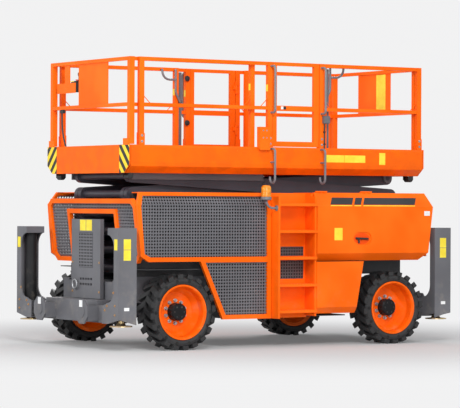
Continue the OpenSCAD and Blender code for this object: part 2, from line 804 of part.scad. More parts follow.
module rear_panels() {
    color(orange) both_sides() {
        end_plate([[wall_y + wall_t, 368], [1110, 368], [cover_y, 440], [cover_y, cover_bottom_z - slide_gap],
            [cover_y - cover_wall, cover_bottom_z - slide_gap], [cover_y - cover_wall, 450], [1100, 388],
            [wall_y + wall_t, 388]], panel_rear_x, cover_front_x - 1);
        side_plate([[panel_rear_x - 95, cover_bottom_z - slide_gap], [panel_rear_x + 1, 440],
            [panel_rear_x + 1, cover_bottom_z - slide_gap]],
            cover_y - cover_wall, cover_y);
        slab(tray_rear_x, cover_front_x - 10, wall_y, cover_hinge_y - slide_gap,
            mesh_top_z - hood_t, cover_top_z);
        slab(-half_l - 50, -half_l - 35, wall_y, cover_hinge_y - slide_gap, 1010, 1600);
        slab(-half_l - 40, tray_rear_x, wall_y, wall_y + wall_t, 1010, 1600);
        for (x = cover_hinges) hinge_strip(x, x + hinge_l, cover_hinge_y - slide_gap / 2, cover_top_z, 0);
    }
}

// Beacon: amber lamp on a bent tube that starts at the ladder's front cheek
beacon_x = 315;
beacon_y = 1130;
beacon_arm_z = 1570;
beacon_base_z = 1660;
beacon_d = 113;
beacon_tube_d = 30;
module beacon() {
    color(amber) {
        bar_x(beacon_y, beacon_arm_z, ladder_x1, beacon_x, beacon_tube_d);
        bar_z(beacon_x, beacon_y, beacon_arm_z, beacon_base_z + 1, beacon_tube_d);
        translate([beacon_x, beacon_y, beacon_arm_z]) sphere(d = beacon_tube_d);
        bar_x(beacon_y, beacon_arm_z, ladder_x1, ladder_x1 + 8, beacon_tube_d + 30);
        translate([beacon_x, beacon_y, beacon_base_z]) rotate_extrude() polygon([
            [0, 0], [beacon_d / 2 + 5, 0], [beacon_d / 2 + 5, 35], [beacon_d / 2, 35],
            [beacon_d / 2 - 3, 140], [beacon_d / 2 - 12, 160], [beacon_d / 2 - 28, 168], [0, 168]]);
    }
}

// Platform: floor between folded side panels, with slide channels and pivot lugs below
panel_t = 8;
post_y1 = 922;
post_y0 = 872;
rail_y1 = 917;
rail_y0 = rail_y1 - rail_t;
front_post_x = platform_front_x - 120;
end_gap = 5.5;

module side_panel() {
    t = panel_t;
    end_plate([[865, toe_z], [side_y - 15, toe_z], [side_y, toe_z - 25], [side_y, platform_z + 116],
        [side_y - 7, platform_z + 74], [side_y - 107, platform_z], [800, platform_z], [800, platform_z + t],
        [side_y - 107 - 3, platform_z + t], [side_y - 7 - t, platform_z + 74 + 4],
        [side_y - t, platform_z + 117],
        [side_y - t, toe_z - 27], [side_y - 19, toe_z - t], [865, toe_z - t]],
        platform_rear_x, platform_front_x);
}
module platform_deck() {
    color(orange) {
        both_sides() side_panel();
        slab(platform_rear_x, platform_front_x, panel_t - 1 - side_y, side_y - panel_t + 1,
            floor_z - 15, floor_z);
        for (i = [0 : 6]) {
            x = pin_rear_x - 60 + i * (pin_front_x - pin_rear_x) / 6;
            slab(x, x + 120, panel_t - side_y + 10, side_y - panel_t - 10, floor_z - 75, floor_z - 14);
        }
    }
}

module platform_frame() {
    color(dark_grey) both_sides() {
        slide_channel(top_pin_z, top_pin_z - roller_d / 2 - 12, floor_z - 75);
        difference() {
            union() {
                slab(pin_rear_x - 60, pin_rear_x + 60, inner_y + 4, inner_y + 4 + lug_t,
                    top_pin_z, floor_z - 75);
                bar_y(pin_rear_x, top_pin_z, inner_y + 4, inner_y + 4 + lug_t, 120);
            }
            bar_y(pin_rear_x, top_pin_z, inner_y, inner_y + 60, pin_d + 2 * pin_clear);
        }
    }
}

// Guard rails: square posts with a top and a mid rail
module rail_run(x0, x1, y0) {
    slab(x0, x1, y0, y0 + rail_t, rail_top_z - rail_t, rail_top_z);
    slab(x0, x1, y0, y0 + rail_t, mid_rail_z - rail_t / 2, mid_rail_z + rail_t / 2);
}
module side_rails(side) {
    color(orange) on_side(side) {
        rail_run(gate_front_x + slide_gap, front_post_x, rail_y0);
        rail_run(platform_rear_x, gate_rear_x - slide_gap, rail_y0);
        gate_hinge(0);
        for (x = [front_post_x - post_t, gate_front_x + slide_gap, gate_rear_x - slide_gap - post_t,
            platform_rear_x]) {
            slab(x, x + post_t, post_y0, post_y1, toe_z, rail_top_z);
        }
    }
}

// Two butt hinges of a gate, the middle barrel on the gate
gate_hinge_x = gate_rear_x - slide_gap / 2;
gate_hinge_y = post_y0 - 12;
gate_hinge_h = 50;
module gate_hinge(moving) {
    for (z = [toe_z + 0.193 * rail_h, toe_z + 0.708 * rail_h]) {
        for (i = moving == 1 ? [1] : [0, 2]) {
            z0 = z + i * gate_hinge_h + pin_clear;
            z1 = z + (i + 1) * gate_hinge_h - pin_clear;
            bar_z(gate_hinge_x, gate_hinge_y, z0, z1, 20);
            if (moving == 1) slab(gate_hinge_x, gate_hinge_x + 40, gate_hinge_y, rail_y0, z0, z1);
            else slab(gate_hinge_x - 40, gate_hinge_x, gate_hinge_y, post_y0, z0, z1);
        }
    }
}
module gate(side) {
    color(orange) on_side(side) {
        rail_run(gate_rear_x, gate_front_x, rail_y0);
        gate_hinge(1);
        slab(gate_rear_x, gate_front_x, rail_y0, rail_y1, mid_rail_z - 30, mid_rail_z + 30);
        slab(gate_front_x - 55, gate_front_x, rail_y0, rail_y1, toe_z + slide_gap, rail_top_z);
        slab(gate_rear_x, gate_rear_x + 70, rail_y0, rail_y1, toe_z + slide_gap, rail_top_z);
        slab(gate_rear_x, gate_front_x, rail_y0 + 10, rail_y1, toe_z + slide_gap, toe_z + slide_gap + 60);
    }
}

// Grab handles: bent bars that stand off the posts, and hooked ones that hang below the platform
handle_d = 26;
handle_bend = 40;
handle_off = 88;
handle_y = post_y1 + handle_off;
loop_y = side_y + handle_off;
loop_bend = 52;
loop_low_z = platform_z - 97;
loop_tip = 20;
// Part of a ring round X that joins two bars, from one angle over a given sweep
module bend(x, y, z, r, from, sweep) {
    translate([x, y, z]) rotate([90, 0, 90]) rotate([0, 0, from])
        rotate_extrude(angle = sweep) translate([r, 0]) circle(d = handle_d);
}
module post_handle(x) {
    low = mid_rail_z - 52;
    high = rail_top_z - 48;
    for (z = [low, high]) bar_y(x, z, post_y1, handle_y - handle_bend, handle_d);
    bar_z(x, handle_y, low + handle_bend, high - handle_bend, handle_d);
    bend(x, handle_y - handle_bend, high - handle_bend, handle_bend, 0, 90);
    bend(x, handle_y - handle_bend, low + handle_bend, handle_bend, 270, 90);
}
module step_handle(x) {
    high = toe_z - 20;
    turn_z = loop_low_z + loop_bend;
    bar_y(x, high, side_y, loop_y - handle_bend, handle_d);
    bend(x, loop_y - handle_bend, high - handle_bend, handle_bend, 0, 90);
    bar_z(x, loop_y, turn_z, high - handle_bend, handle_d);
    bar_y(x, platform_z + 139, side_y, loop_y, handle_d - 6);
    bend(x, loop_y - loop_bend, turn_z, loop_bend, 180, 180);
    bar_z(x, loop_y - 2 * loop_bend, turn_z, turn_z + loop_tip, handle_d);
}
module grab_handles() {
    color(steel) both_sides() {
        for (x = [gate_front_x + 27, gate_rear_x - 30]) post_handle(x);
        for (x = [gate_front_x + 42, gate_rear_x - 11]) step_handle(x);
    }
}

// Roll-out decks: floors with toe boards, end panels and inner rails
deck_y = 800;
deck_t = 12;
ext_rail_y1 = 858;
ext_post_y0 = deck_y + 6;
front_ext_x = 299;
rear_ext_x = -652;
end_t = 15;

module end_panel(x0) {
    end_plate([[115 - side_y, platform_z], [side_y - 115, platform_z], [side_y, platform_z + 93],
        [side_y, toe_z], [-side_y, toe_z], [-side_y, platform_z + 93]], x0, x0 + end_t);
}
module deck_floor(x0, x1) {
    slab(x0, x1, -deck_y, deck_y, floor_z + slide_gap, floor_z + slide_gap + deck_t);
    both_sides() {
        slab(x0, x1, deck_y - 40, deck_y, floor_z + pin_clear, floor_z + slide_gap + 1);
        slab(x0, x1, deck_y - 1, deck_y + 6, floor_z + slide_gap, toe_z);
    }
}
module front_deck() {
    color(orange) {
        deck_floor(front_ext_x, platform_front_x + end_gap + 1);
        end_panel(platform_front_x + end_gap);
    }
}
module rear_deck() {
    color(orange) {
        deck_floor(platform_rear_x - end_gap - 1, rear_ext_x);
        end_panel(platform_rear_x - end_gap - end_t);
    }
}
module front_rails() {
    color(orange) {
        both_sides() {
            rail_run(front_ext_x, platform_front_x, ext_rail_y1 - rail_t);
            slab(front_ext_x, front_ext_x + 54, ext_post_y0, ext_rail_y1,
                floor_z + slide_gap + deck_t, rail_top_z);
            slab(platform_front_x - post_t, platform_front_x, 855, 915, toe_z + slide_gap, rail_top_z);
            slab(platform_front_x - 1, platform_front_x + end_gap + end_t, 800, 915, toe_z, toe_z + 70);
        }
        slab(platform_front_x - rail_t, platform_front_x, -900, 900, rail_top_z - rail_t, rail_top_z);
        slab(platform_front_x - rail_t, platform_front_x, -900, 900,
            mid_rail_z - rail_t / 2, mid_rail_z + rail_t / 2);
        slab(platform_front_x - 25, platform_front_x - 15, -272, 395, mid_rail_z, rail_top_z - rail_t + 1);
        slab(platform_front_x - 25, platform_front_x - 15, shelf_y0, box_y1 + 20,
            box_z0 - 10, box_z1 - 25);
        slab(platform_front_x - 25, platform_front_x - 15, hanger_y0, hanger_y1,
            box_z0, rail_top_z - rail_t + 1);
    }
}
module rear_rails() {
    color(orange) {
        both_sides() {
            rail_run(platform_rear_x, rear_ext_x, ext_rail_y1 - rail_t);
            slab(rear_ext_x - 42, rear_ext_x, ext_post_y0, ext_rail_y1,
                floor_z + slide_gap + deck_t, rail_top_z);
            slab(platform_rear_x, platform_rear_x + post_t, ext_post_y0, ext_rail_y1,
                floor_z + slide_gap + deck_t, rail_top_z);
        }
        slab(platform_rear_x, platform_rear_x + rail_t, -840, 840, rail_top_z - rail_t, rail_top_z);
        slab(platform_rear_x, platform_rear_x + rail_t, -840, 840,
            mid_rail_z - rail_t / 2, mid_rail_z + rail_t / 2);
        slab(platform_rear_x + 15, platform_rear_x + 25, -330, 330, mid_rail_z, rail_top_z - rail_t + 1);
    }
}
// Control box on its shelf plate, with a socket under the mid rail for its cable
box_y0 = -500;
box_y1 = -380;
box_z0 = mid_rail_z + 0.337 * (rail_top_z - mid_rail_z);
box_z1 = mid_rail_z + 0.585 * (rail_top_z - mid_rail_z);
shelf_y0 = -780;
hanger_y0 = -600;
hanger_y1 = -486;
socket_y0 = -700;
socket_y1 = -610;
socket_h = 42;
socket_z0 = mid_rail_z - rail_t / 2 - socket_h;
module control_box() {
    color(rubber) {
        slab(platform_front_x - 170, platform_front_x - 25, box_y0, box_y1, box_z0, box_z1);
        slab(platform_front_x - rail_t + 2, platform_front_x - 2, socket_y0, socket_y1,
            socket_z0, socket_z0 + socket_h);
    }
}

// Cable from the socket into the front deck, given by its distance from the left and its height
// as a share of the drop from the socket to the deck
cable_d = 20;
cable_sides = 10;
cable_x = platform_front_x - rail_t / 2;
cable_low_z = floor_z + slide_gap + deck_t;
cable_drop = socket_z0 - cable_low_z;
cable_route = [
    [-672, 1], [-672, 0.93], [-671, 0.86], [-669, 0.8], [-666, 0.73], [-661, 0.66], [-654, 0.6], [-644, 0.53],
    [-631, 0.46], [-615, 0.4], [-597, 0.33], [-578, 0.27], [-561, 0.2], [-548, 0.14], [-541, 0.07], [-540, 0]
];
cable_last = len(cable_route) - 1;
function cable_point(i) = [cable_x, cable_route[i][0], cable_low_z + cable_route[i][1] * cable_drop];
function cable_way(i) = i == 0 || i == cable_last ? [0, 0, -1]
    : let (step = cable_point(i + 1) - cable_point(i - 1)) step / norm(step);
function cable_ring(i) = let (way = cable_way(i)) [for (k = [0 : cable_sides - 1])
    let (turn = 360 * k / cable_sides) cable_point(i)
        + cable_d / 2 * [cos(turn), -sin(turn) * way[2], sin(turn) * way[1]]];
module control_cable() {
    rings = [for (i = [0 : cable_last]) each cable_ring(i)];
    low = [for (k = [0 : cable_sides - 1]) k];
    high = [for (k = [cable_sides - 1 : -1 : 0]) cable_last * cable_sides + k];
    walls = [for (i = [0 : cable_last - 1], k = [0 : cable_sides - 1], half = [0, 1])
        let (a = i * cable_sides, b = a + cable_sides, next = (k + 1) % cable_sides)
            half == 0 ? [a + k, b + k, b + next] : [a + k, b + next, a + next]];
    color(rubber) polyhedron(points = rings, faces = concat([low], [high], walls));
}

chassis_frame();
axles();
stabiliser_frames();
leg_cylinders();
body_frame();
grilles();
ladders();
rear_panels();
front_cover();
side_trays();
engine();
beacon();
knuckle(1);  // knuckle_left
knuckle(-1);  // knuckle_right
tyre(wheel_x, 1);  // tyre_front_left
tyre(wheel_x, -1);  // tyre_front_right
tyre(-wheel_x, 1);  // tyre_rear_left
tyre(-wheel_x, -1);  // tyre_rear_right
rim(wheel_x, 1);  // rim_front_left
rim(wheel_x, -1);  // rim_front_right
rim(-wheel_x, 1);  // rim_rear_left
rim(-wheel_x, -1);  // rim_rear_right
leg(1, 1);  // leg_front_left
leg(1, -1);  // leg_front_right
leg(-1, 1);  // leg_rear_left
leg(-1, -1);  // leg_rear_right
outer_arms(0);  // outer_arms_1
outer_arms(1);  // outer_arms_2
outer_arms(2);  // outer_arms_3
outer_arms(3);  // outer_arms_4
outer_arms(4);  // outer_arms_5
inner_arms(0);  // inner_arms_1
inner_arms(1);  // inner_arms_2
inner_arms(2);  // inner_arms_3
inner_arms(3);  // inner_arms_4
inner_arms(4);  // inner_arms_5
lift_barrel();
lift_rod();
platform_deck();
platform_frame();
side_rails(1);  // side_rails_left
side_rails(-1);  // side_rails_right
grab_handles();
gate(1);  // gate_left
gate(-1);  // gate_right
front_deck();
front_rails();
control_box();
control_cable();
rear_deck();
rear_rails();
rear_cover(1);  // rear_cover_left
rear_cover(-1);  // rear_cover_right
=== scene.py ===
import bpy
import bmesh
import math
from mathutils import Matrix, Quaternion, Vector


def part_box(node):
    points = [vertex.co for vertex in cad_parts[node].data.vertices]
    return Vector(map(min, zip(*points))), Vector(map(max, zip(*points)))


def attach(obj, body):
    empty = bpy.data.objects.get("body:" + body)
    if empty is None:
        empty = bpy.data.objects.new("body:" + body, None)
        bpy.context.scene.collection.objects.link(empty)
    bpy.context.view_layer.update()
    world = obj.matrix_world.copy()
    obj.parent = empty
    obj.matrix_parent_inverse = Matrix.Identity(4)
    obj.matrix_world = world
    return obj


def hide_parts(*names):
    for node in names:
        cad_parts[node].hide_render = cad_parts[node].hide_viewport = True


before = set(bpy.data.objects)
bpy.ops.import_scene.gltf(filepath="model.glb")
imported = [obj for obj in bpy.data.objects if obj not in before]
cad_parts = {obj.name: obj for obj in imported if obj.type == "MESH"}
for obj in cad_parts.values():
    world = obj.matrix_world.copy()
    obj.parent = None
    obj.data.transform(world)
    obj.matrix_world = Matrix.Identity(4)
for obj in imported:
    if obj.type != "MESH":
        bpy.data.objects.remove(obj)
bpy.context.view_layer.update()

# Camera and studio. A long lens looks level at the machine's front left corner
# from far away. A pale floor and backdrop carry soft lamps from the left and above.
scene = bpy.context.scene
scene.view_settings.view_transform = "Standard"
camera_data = bpy.data.cameras.new("photo_camera")
camera_data.lens = 194.5
camera_data.sensor_width = 36.0
camera_data.clip_end = 400.0
camera = bpy.data.objects.new("photo_camera", camera_data)
camera.location = (15.679, 24.518, 1.614)
look = Vector((-0.5368, -0.8437, 0.0)).to_track_quat("-Z", "Y")
camera.rotation_mode = "QUATERNION"
camera.rotation_quaternion = look @ Quaternion((0, 0, 1), 0.0047)
scene.collection.objects.link(camera)
scene.camera = camera


class Tone:
    """A shader socket on which arithmetic adds Math nodes."""

    def __init__(self, finish, socket):
        self.finish = finish
        self.socket = socket

    def _math(self, operation, first, second):
        return self.finish.node("ShaderNodeMath", {"operation": operation}, [first, second])

    def __add__(self, other):
        return self._math("ADD", self, other)

    def __radd__(self, other):
        return self._math("ADD", other, self)

    def __sub__(self, other):
        return self._math("SUBTRACT", self, other)

    def __mul__(self, other):
        return self._math("MULTIPLY", self, other)

    def __abs__(self):
        return self._math("ABSOLUTE", self, 0.0)


class Finish:
    """A material whose node method adds any node and gives back one of its outputs."""

    def __init__(self, name, tree=None):
        self.material = None
        if tree is None:
            self.material = bpy.data.materials.new(name)
            self.material.use_nodes = True
            tree = self.material.node_tree
        self.tree = tree
        self.tree.nodes.clear()

    def node(self, kind, settings=None, inputs=None, out=0):
        made = self.tree.nodes.new(kind)
        for key, value in (settings or {}).items():
            setattr(made, key, value)
        pairs = inputs.items() if isinstance(inputs, dict) else enumerate(inputs or [])
        for key, value in pairs:
            if isinstance(value, Tone):
                self.tree.links.new(value.socket, made.inputs[key])
            else:
                made.inputs[key].default_value = value
        return Tone(self, made.outputs[out]) if len(made.outputs) else None

    def place(self):
        return self.node("ShaderNodeTexCoord", out=3)

    def axes(self, place):
        made = self.tree.nodes.new("ShaderNodeSeparateXYZ")
        self.tree.links.new(place.socket, made.inputs[0])
        return [Tone(self, made.outputs[i]) for i in range(3)]

    def noise(self, place, scale, detail=3.0, rough=0.55):
        return self.node("ShaderNodeTexNoise", {"noise_dimensions": "3D"},
                         {"Vector": place, "Scale": scale, "Detail": detail, "Roughness": rough})

    def ease(self, value, low, high, to_low=0.0, to_high=1.0):
        return self.node("ShaderNodeMapRange", {"interpolation_type": "SMOOTHSTEP"},
                         {"Value": value, "From Min": low, "From Max": high,
                          "To Min": to_low, "To Max": to_high})

    def blend(self, share, first, second):
        return self.node("ShaderNodeMix", {"data_type": "RGBA"}, {0: share, 6: first, 7: second}, out=2)

    def bump(self, height, strength, distance):
        return self.node("ShaderNodeBump", None,
                         {"Height": height, "Strength": strength, "Distance": distance})

    def close(self, colour, rough, metal=0.0, normal=None, **fixed):
        values = {"Base Color": colour, "Roughness": rough, "Metallic": metal}
        if normal is not None:
            values["Normal"] = normal
        values.update(fixed)
        shader = self.node("ShaderNodeBsdfPrincipled", None, values)
        self.node("ShaderNodeOutputMaterial", None, {"Surface": shader})
        return self.material


backdrop = (0.885, 0.885, 0.890, 1.0)
world = bpy.data.worlds.new("studio")
world.use_nodes = True
scene.world = world
sky = Finish("studio", world.node_tree)
seen, gloss, glass = [sky.node("ShaderNodeLightPath", out="Is %s Ray" % kind)
                      for kind in ("Camera", "Glossy", "Transmission")]
direct = sky.node("ShaderNodeMath", {"operation": "MAXIMUM"},
                  [seen, sky.node("ShaderNodeMath", {"operation": "MAXIMUM"}, [gloss, glass])])
ambient = sky.node("ShaderNodeBackground", None, {"Color": (0.95, 0.97, 1.0, 1.0), "Strength": 0.68})
white = sky.node("ShaderNodeBackground", None, {"Color": backdrop, "Strength": 1.0})
sky.node("ShaderNodeOutputWorld", None,
         {"Surface": sky.node("ShaderNodeMixShader", None, [direct, ambient, white])})

FLOOR_HALF = 150
FADE_NEAR, FADE_FAR = 2.5, 7.0
floor_mesh = bpy.data.meshes.new("studio_floor")
floor_corners = [(x * FLOOR_HALF, y * FLOOR_HALF, 0) for x, y in ((-1, -1), (1, -1), (1, 1), (-1, 1))]
floor_mesh.from_pydata(floor_corners, [], [(0, 1, 2, 3)])
studio_floor = bpy.data.objects.new("studio_floor", floor_mesh)
scene.collection.objects.link(studio_floor)
ground = Finish("studio_floor")
floor_seen = ground.node("ShaderNodeLightPath", out="Is Camera Ray")
matt = ground.node("ShaderNodeBsdfDiffuse", None, {"Color": (0.56, 0.56, 0.56, 1.0)})
far = ground.node("ShaderNodeVectorMath", {"operation": "LENGTH"}, [ground.place()], out=1)
faded = ground.ease(far, FADE_NEAR, FADE_FAR, 0.12, 1.0)
bright = ground.node("ShaderNodeEmission", None, {"Color": backdrop, "Strength": 1.0})
ground.node("ShaderNodeOutputMaterial", None,
            {"Surface": ground.node("ShaderNodeMixShader", None, [floor_seen * faded, matt, bright])})
floor_mesh.materials.append(ground.material)


def lamp(name, place, target, size, power):
    data = bpy.data.lights.new(name, "AREA")
    data.shape = "DISK"
    data.size = size
    data.energy = power
    made = bpy.data.objects.new(name, data)
    made.location = place
    made.rotation_mode = "QUATERNION"
    made.rotation_quaternion = (Vector(target) - Vector(place)).to_track_quat("-Z", "Y")
    scene.collection.objects.link(made)


lamp("key_lamp", (7.0, 14.0, 11.0), (0, 0, 1.5), 6.0, 1700.0)
lamp("end_lamp", (14.0, 1.0, 6.0), (0, 0, 1.3), 6.0, 800.0)
lamp("fill_lamp", (6.0, 17.0, 2.5), (0, 0, 1.2), 6.0, 700.0)
lamp("back_lamp", (-9.0, -13.0, 9.0), (0, 0, 1.5), 7.0, 900.0)

# Painted steel. The whole machine is welded plate and tube in gloss orange, satin grey and
# blue grey coats, with an orange peel surface, faint road dust low down and rubbed spots.
ORANGE = (0.98, 0.138, 0.002, 1.0)
GREY = (0.118, 0.118, 0.130, 1.0)
ARM_GREY = (0.045, 0.043, 0.058, 1.0)
BLACK = (0.012, 0.012, 0.013, 1.0)
DUST = (0.36, 0.31, 0.25, 1.0)
PEEL_SCALE = 900.0


def paint(name, colour, rough, dust=0.35, gloss=0.5):
    coat_of = Finish(name)
    place = coat_of.place()
    height = coat_of.axes(place)[2]
    broad = coat_of.noise(place, 1.7, 2.0)
    cloud = coat_of.noise(place, 9.0, 5.0, 0.6)
    fine = coat_of.noise(place, 60.0, 3.0)
    darker = tuple(c * 0.86 for c in colour[:3]) + (1.0,)
    lighter = tuple(min(1.0, c * 1.08 + 0.004) for c in colour[:3]) + (1.0,)
    shade = coat_of.blend(coat_of.ease(broad, 0.35, 0.68), darker, lighter)
    low = coat_of.ease(height, 1.1, 0.15)
    soil = coat_of.ease(cloud, 0.48, 0.78) * low * dust
    shade = coat_of.blend(soil, shade, DUST)
    scuff = coat_of.ease(coat_of.noise(place, 23.0, 6.0, 0.7), 0.70, 0.76) * 0.25
    shade = coat_of.blend(scuff, shade, darker)
    roughness = rough + (cloud - 0.5) * 0.16 + soil * 0.35 + (fine - 0.5) * 0.06
    skin = coat_of.bump(coat_of.noise(place, PEEL_SCALE, 1.0) + fine * 0.4, 0.06, 0.0006)
    return coat_of.close(shade, roughness, normal=skin, **{"Specular IOR Level": gloss})


ORANGE_GLOSS = 0.12
orange_paint = paint("orange_paint", ORANGE, 0.36, dust=0.12, gloss=ORANGE_GLOSS)
grey_paint = paint("grey_paint", GREY, 0.46)
arm_paint = paint("arm_paint", ARM_GREY, 0.42)
black_paint = paint("black_paint", BLACK, 0.45)
dark_paint = paint("dark_paint", (0.028, 0.028, 0.031, 1.0), 0.5)


def dress(material, *names):
    for name in names:
        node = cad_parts[name]
        if not node.data.materials:
            node.data.materials.append(material)
        for held in node.material_slots:
            held.material = material


dress(grey_paint, "chassis_frame", "stabiliser_frames", "front_cover", "platform_frame")
dress(dark_paint, "side_trays", "engine")
dress(arm_paint, "axles", "knuckle_left", "knuckle_right", "lift_barrel")
dress(arm_paint, *["%s_arms_%d" % (kind, n) for kind in ("outer", "inner") for n in range(1, 6)])
dress(paint("cylinder_black", BLACK, 0.55, gloss=0.15), "leg_cylinders")
dress(orange_paint, "body_frame", "ladders", "rear_panels", "rear_cover_left", "rear_cover_right",
      "side_rails_left", "side_rails_right", "gate_left", "gate_right", "front_rails", "rear_rails")

# Bare metal. Feet are yellow zinc plated, the lift rod is hard chromed and bolts are galvanised or
# copper coloured, with a spangle that shows up close. The grab handles have a grey coat.


def metal(name, colour, tint, rough, spangle):
    plate = Finish(name)
    place = plate.place()
    flake = plate.node("ShaderNodeTexVoronoi", {"feature": "F1"}, {"Vector": place, "Scale": spangle})
    cloud = plate.noise(place, 14.0, 4.0)
    shade = plate.blend(plate.ease(cloud + flake * 0.2, 0.35, 0.85), colour, tint)
    skin = plate.bump(plate.noise(place, 420.0, 2.0), 0.08, 0.0005)
    return plate.close(shade, rough + (cloud - 0.5) * 0.2 + flake * 0.08, 1.0, skin)


zinc_plate = metal("zinc_plate", (0.66, 0.52, 0.24, 1.0), (0.55, 0.40, 0.30, 1.0), 0.34, 60.0)
galvanised = metal("galvanised", (0.50, 0.51, 0.52, 1.0), (0.34, 0.35, 0.37, 1.0), 0.42, 90.0)
chromed = metal("chromed", (0.72, 0.72, 0.73, 1.0), (0.60, 0.60, 0.62, 1.0), 0.14, 40.0)
copper_bolt = metal("copper_bolt", (0.62, 0.36, 0.16, 1.0), (0.50, 0.34, 0.20, 1.0), 0.4, 90.0)
dress(zinc_plate, *["leg_%s_%s" % (end, side) for end in ("front", "rear") for side in ("left", "right")])
dress(chromed, "lift_rod")
grey_coat = paint("grey_handle_coat", (0.16, 0.16, 0.175, 1.0), 0.4)
dress(grey_coat, "grab_handles")

# Control cable. It leaves the socket under the front mid rail, hangs in a shallow bow and goes into
# the front deck; its route repeats the points of the part's own cable.


def new_tree(name, sizes):
    tree = bpy.data.node_groups.new(name, "GeometryNodeTree")
    tree.interface.new_socket("Geometry", in_out="INPUT", socket_type="NodeSocketGeometry")
    for label, kind, value in sizes:
        socket = tree.interface.new_socket(label, in_out="INPUT", socket_type=kind)
        if value is not None:
            socket.default_value = value
    tree.interface.new_socket("Geometry", in_out="OUTPUT", socket_type="NodeSocketGeometry")
    start = tree.nodes.new("NodeGroupInput")
    end = tree.nodes.new("NodeGroupOutput")
    return tree, start, end


def grow(tree, kind, settings=None, inputs=None, out=0):
    made = tree.nodes.new(kind)
    for key, value in (settings or {}).items():
        setattr(made, key, value)
    for key, value in (inputs or {}).items():
        if isinstance(value, (list, tuple)) and value and isinstance(value[0], bpy.types.NodeSocket):
            for one in value:
                tree.links.new(one, made.inputs[key])
        elif isinstance(value, bpy.types.NodeSocket):
            tree.links.new(value, made.inputs[key])
        else:
            made.inputs[key].default_value = value
    return made.outputs[out]


def shape_by(tree, source, name, **values):
    """Runs a tree on a mesh and gives back an object with the finished plain mesh."""
    made = bpy.data.objects.new(name, source)
    scene.collection.objects.link(made)
    modifier = made.modifiers.new("shape", "NODES")
    modifier.node_group = tree
    for item in tree.interface.items_tree:
        label = item.name.replace(" ", "_").lower()
        if item.in_out == "INPUT" and label in values:
            modifier[item.identifier] = values[label]
    evaluated = made.evaluated_get(bpy.context.evaluated_depsgraph_get())
    plain = bpy.data.meshes.new_from_object(evaluated)
    made.modifiers.clear()
    made.data = plain
    plain.name = name
    return made


def path_mesh(name, paths):
    """A mesh of loose edges that runs through each list of points."""
    mesh = bpy.data.meshes.new(name)
    points = []
    edges = []
    for path in paths:
        start = len(points)
        points += [tuple(p) for p in path]
        edges += [(start + i, start + i + 1) for i in range(len(path) - 1)]
    mesh.from_pydata(points, edges, [])
    return mesh


tube_tree, tube_in, tube_out = new_tree("bent_tube", [
    ("Radius", "NodeSocketFloat", 0.015), ("Bend", "NodeSocketFloat", 0.03),
    ("Sides", "NodeSocketInt", 12), ("Finish", "NodeSocketMaterial", None)])
run = grow(tube_tree, "GeometryNodeMeshToCurve", None, {"Mesh": tube_in.outputs["Geometry"]})
run = grow(tube_tree, "GeometryNodeFilletCurve", {"mode": "POLY"}, {
    "Curve": run, "Radius": tube_in.outputs["Bend"], "Count": 5, "Limit Radius": True})
ring = grow(tube_tree, "GeometryNodeCurvePrimitiveCircle", None, {
    "Resolution": tube_in.outputs["Sides"], "Radius": tube_in.outputs["Radius"]})
tube = grow(tube_tree, "GeometryNodeCurveToMesh", None, {
    "Curve": run, "Profile Curve": ring, "Fill Caps": True})
tube = grow(tube_tree, "GeometryNodeSetMaterial", None, {
    "Geometry": tube, "Material": tube_in.outputs["Finish"]})
tube = grow(tube_tree, "GeometryNodeRealizeInstances", None, {"Geometry": tube})
tube_tree.links.new(tube, tube_out.inputs[0])


def tubes(name, paths, body, finish, radius, bend, sides=12):
    made = shape_by(tube_tree, path_mesh(name, paths), name,
                    radius=radius, bend=bend, sides=sides, finish=finish)
    for face in made.data.polygons:
        face.use_smooth = len(face.vertices) == 4
    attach(made, body)
    return made


def plastic(name, dark, light, rough, scale, grain, depth):
    """A dull moulded surface with a fine grain."""
    coat_of = Finish(name)
    place = coat_of.place()
    cloud = coat_of.noise(place, scale, 4.0)
    return coat_of.close(coat_of.blend(cloud, dark, light), rough + (cloud - 0.5) * 0.2,
                         normal=coat_of.bump(coat_of.noise(place, grain), depth, 0.0004))


cable_rubber = plastic("cable_rubber", (0.010, 0.010, 0.011, 1.0), (0.026, 0.026, 0.028, 1.0),
                       0.5, 30.0, 600.0, 0.15)
CABLE_X = 1.950
CABLE_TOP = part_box("control_cable")[1][2]
CABLE_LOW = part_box("control_cable")[0][2]
CABLE_D = 0.020
route = [(-0.672, 1), (-0.672, 0.93), (-0.671, 0.86), (-0.669, 0.8), (-0.666, 0.73), (-0.661, 0.66),
         (-0.654, 0.6), (-0.644, 0.53), (-0.631, 0.46), (-0.615, 0.4), (-0.597, 0.33), (-0.578, 0.27),
         (-0.561, 0.2), (-0.548, 0.14), (-0.541, 0.07), (-0.540, 0)]
cable_path = [(CABLE_X, y, CABLE_LOW + share * (CABLE_TOP - CABLE_LOW)) for y, share in route]
cable_length = sum((Vector(b) - Vector(a)).length for a, b in zip(cable_path, cable_path[1:]))
cable = tubes("control_cable_skin", [cable_path], "front_extension", cable_rubber,
              CABLE_D / 2, 0.09, 16)
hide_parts("control_cable")
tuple(cable_path[0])

# Wheels. Solid lugged tyres with round openings in the sidewalls sit on deep dished orange rims,
# held by ten studs round a black hub cap.


def facing_points(name, places):
    """A mesh of loose points, each with the direction its piece faces."""
    mesh = bpy.data.meshes.new(name)
    mesh.from_pydata([p for p, _ in places], [], [])
    facing = mesh.attributes.new("facing", "FLOAT_VECTOR", "POINT")
    for i, (_, way) in enumerate(places):
        facing.data[i].vector = way
    return mesh


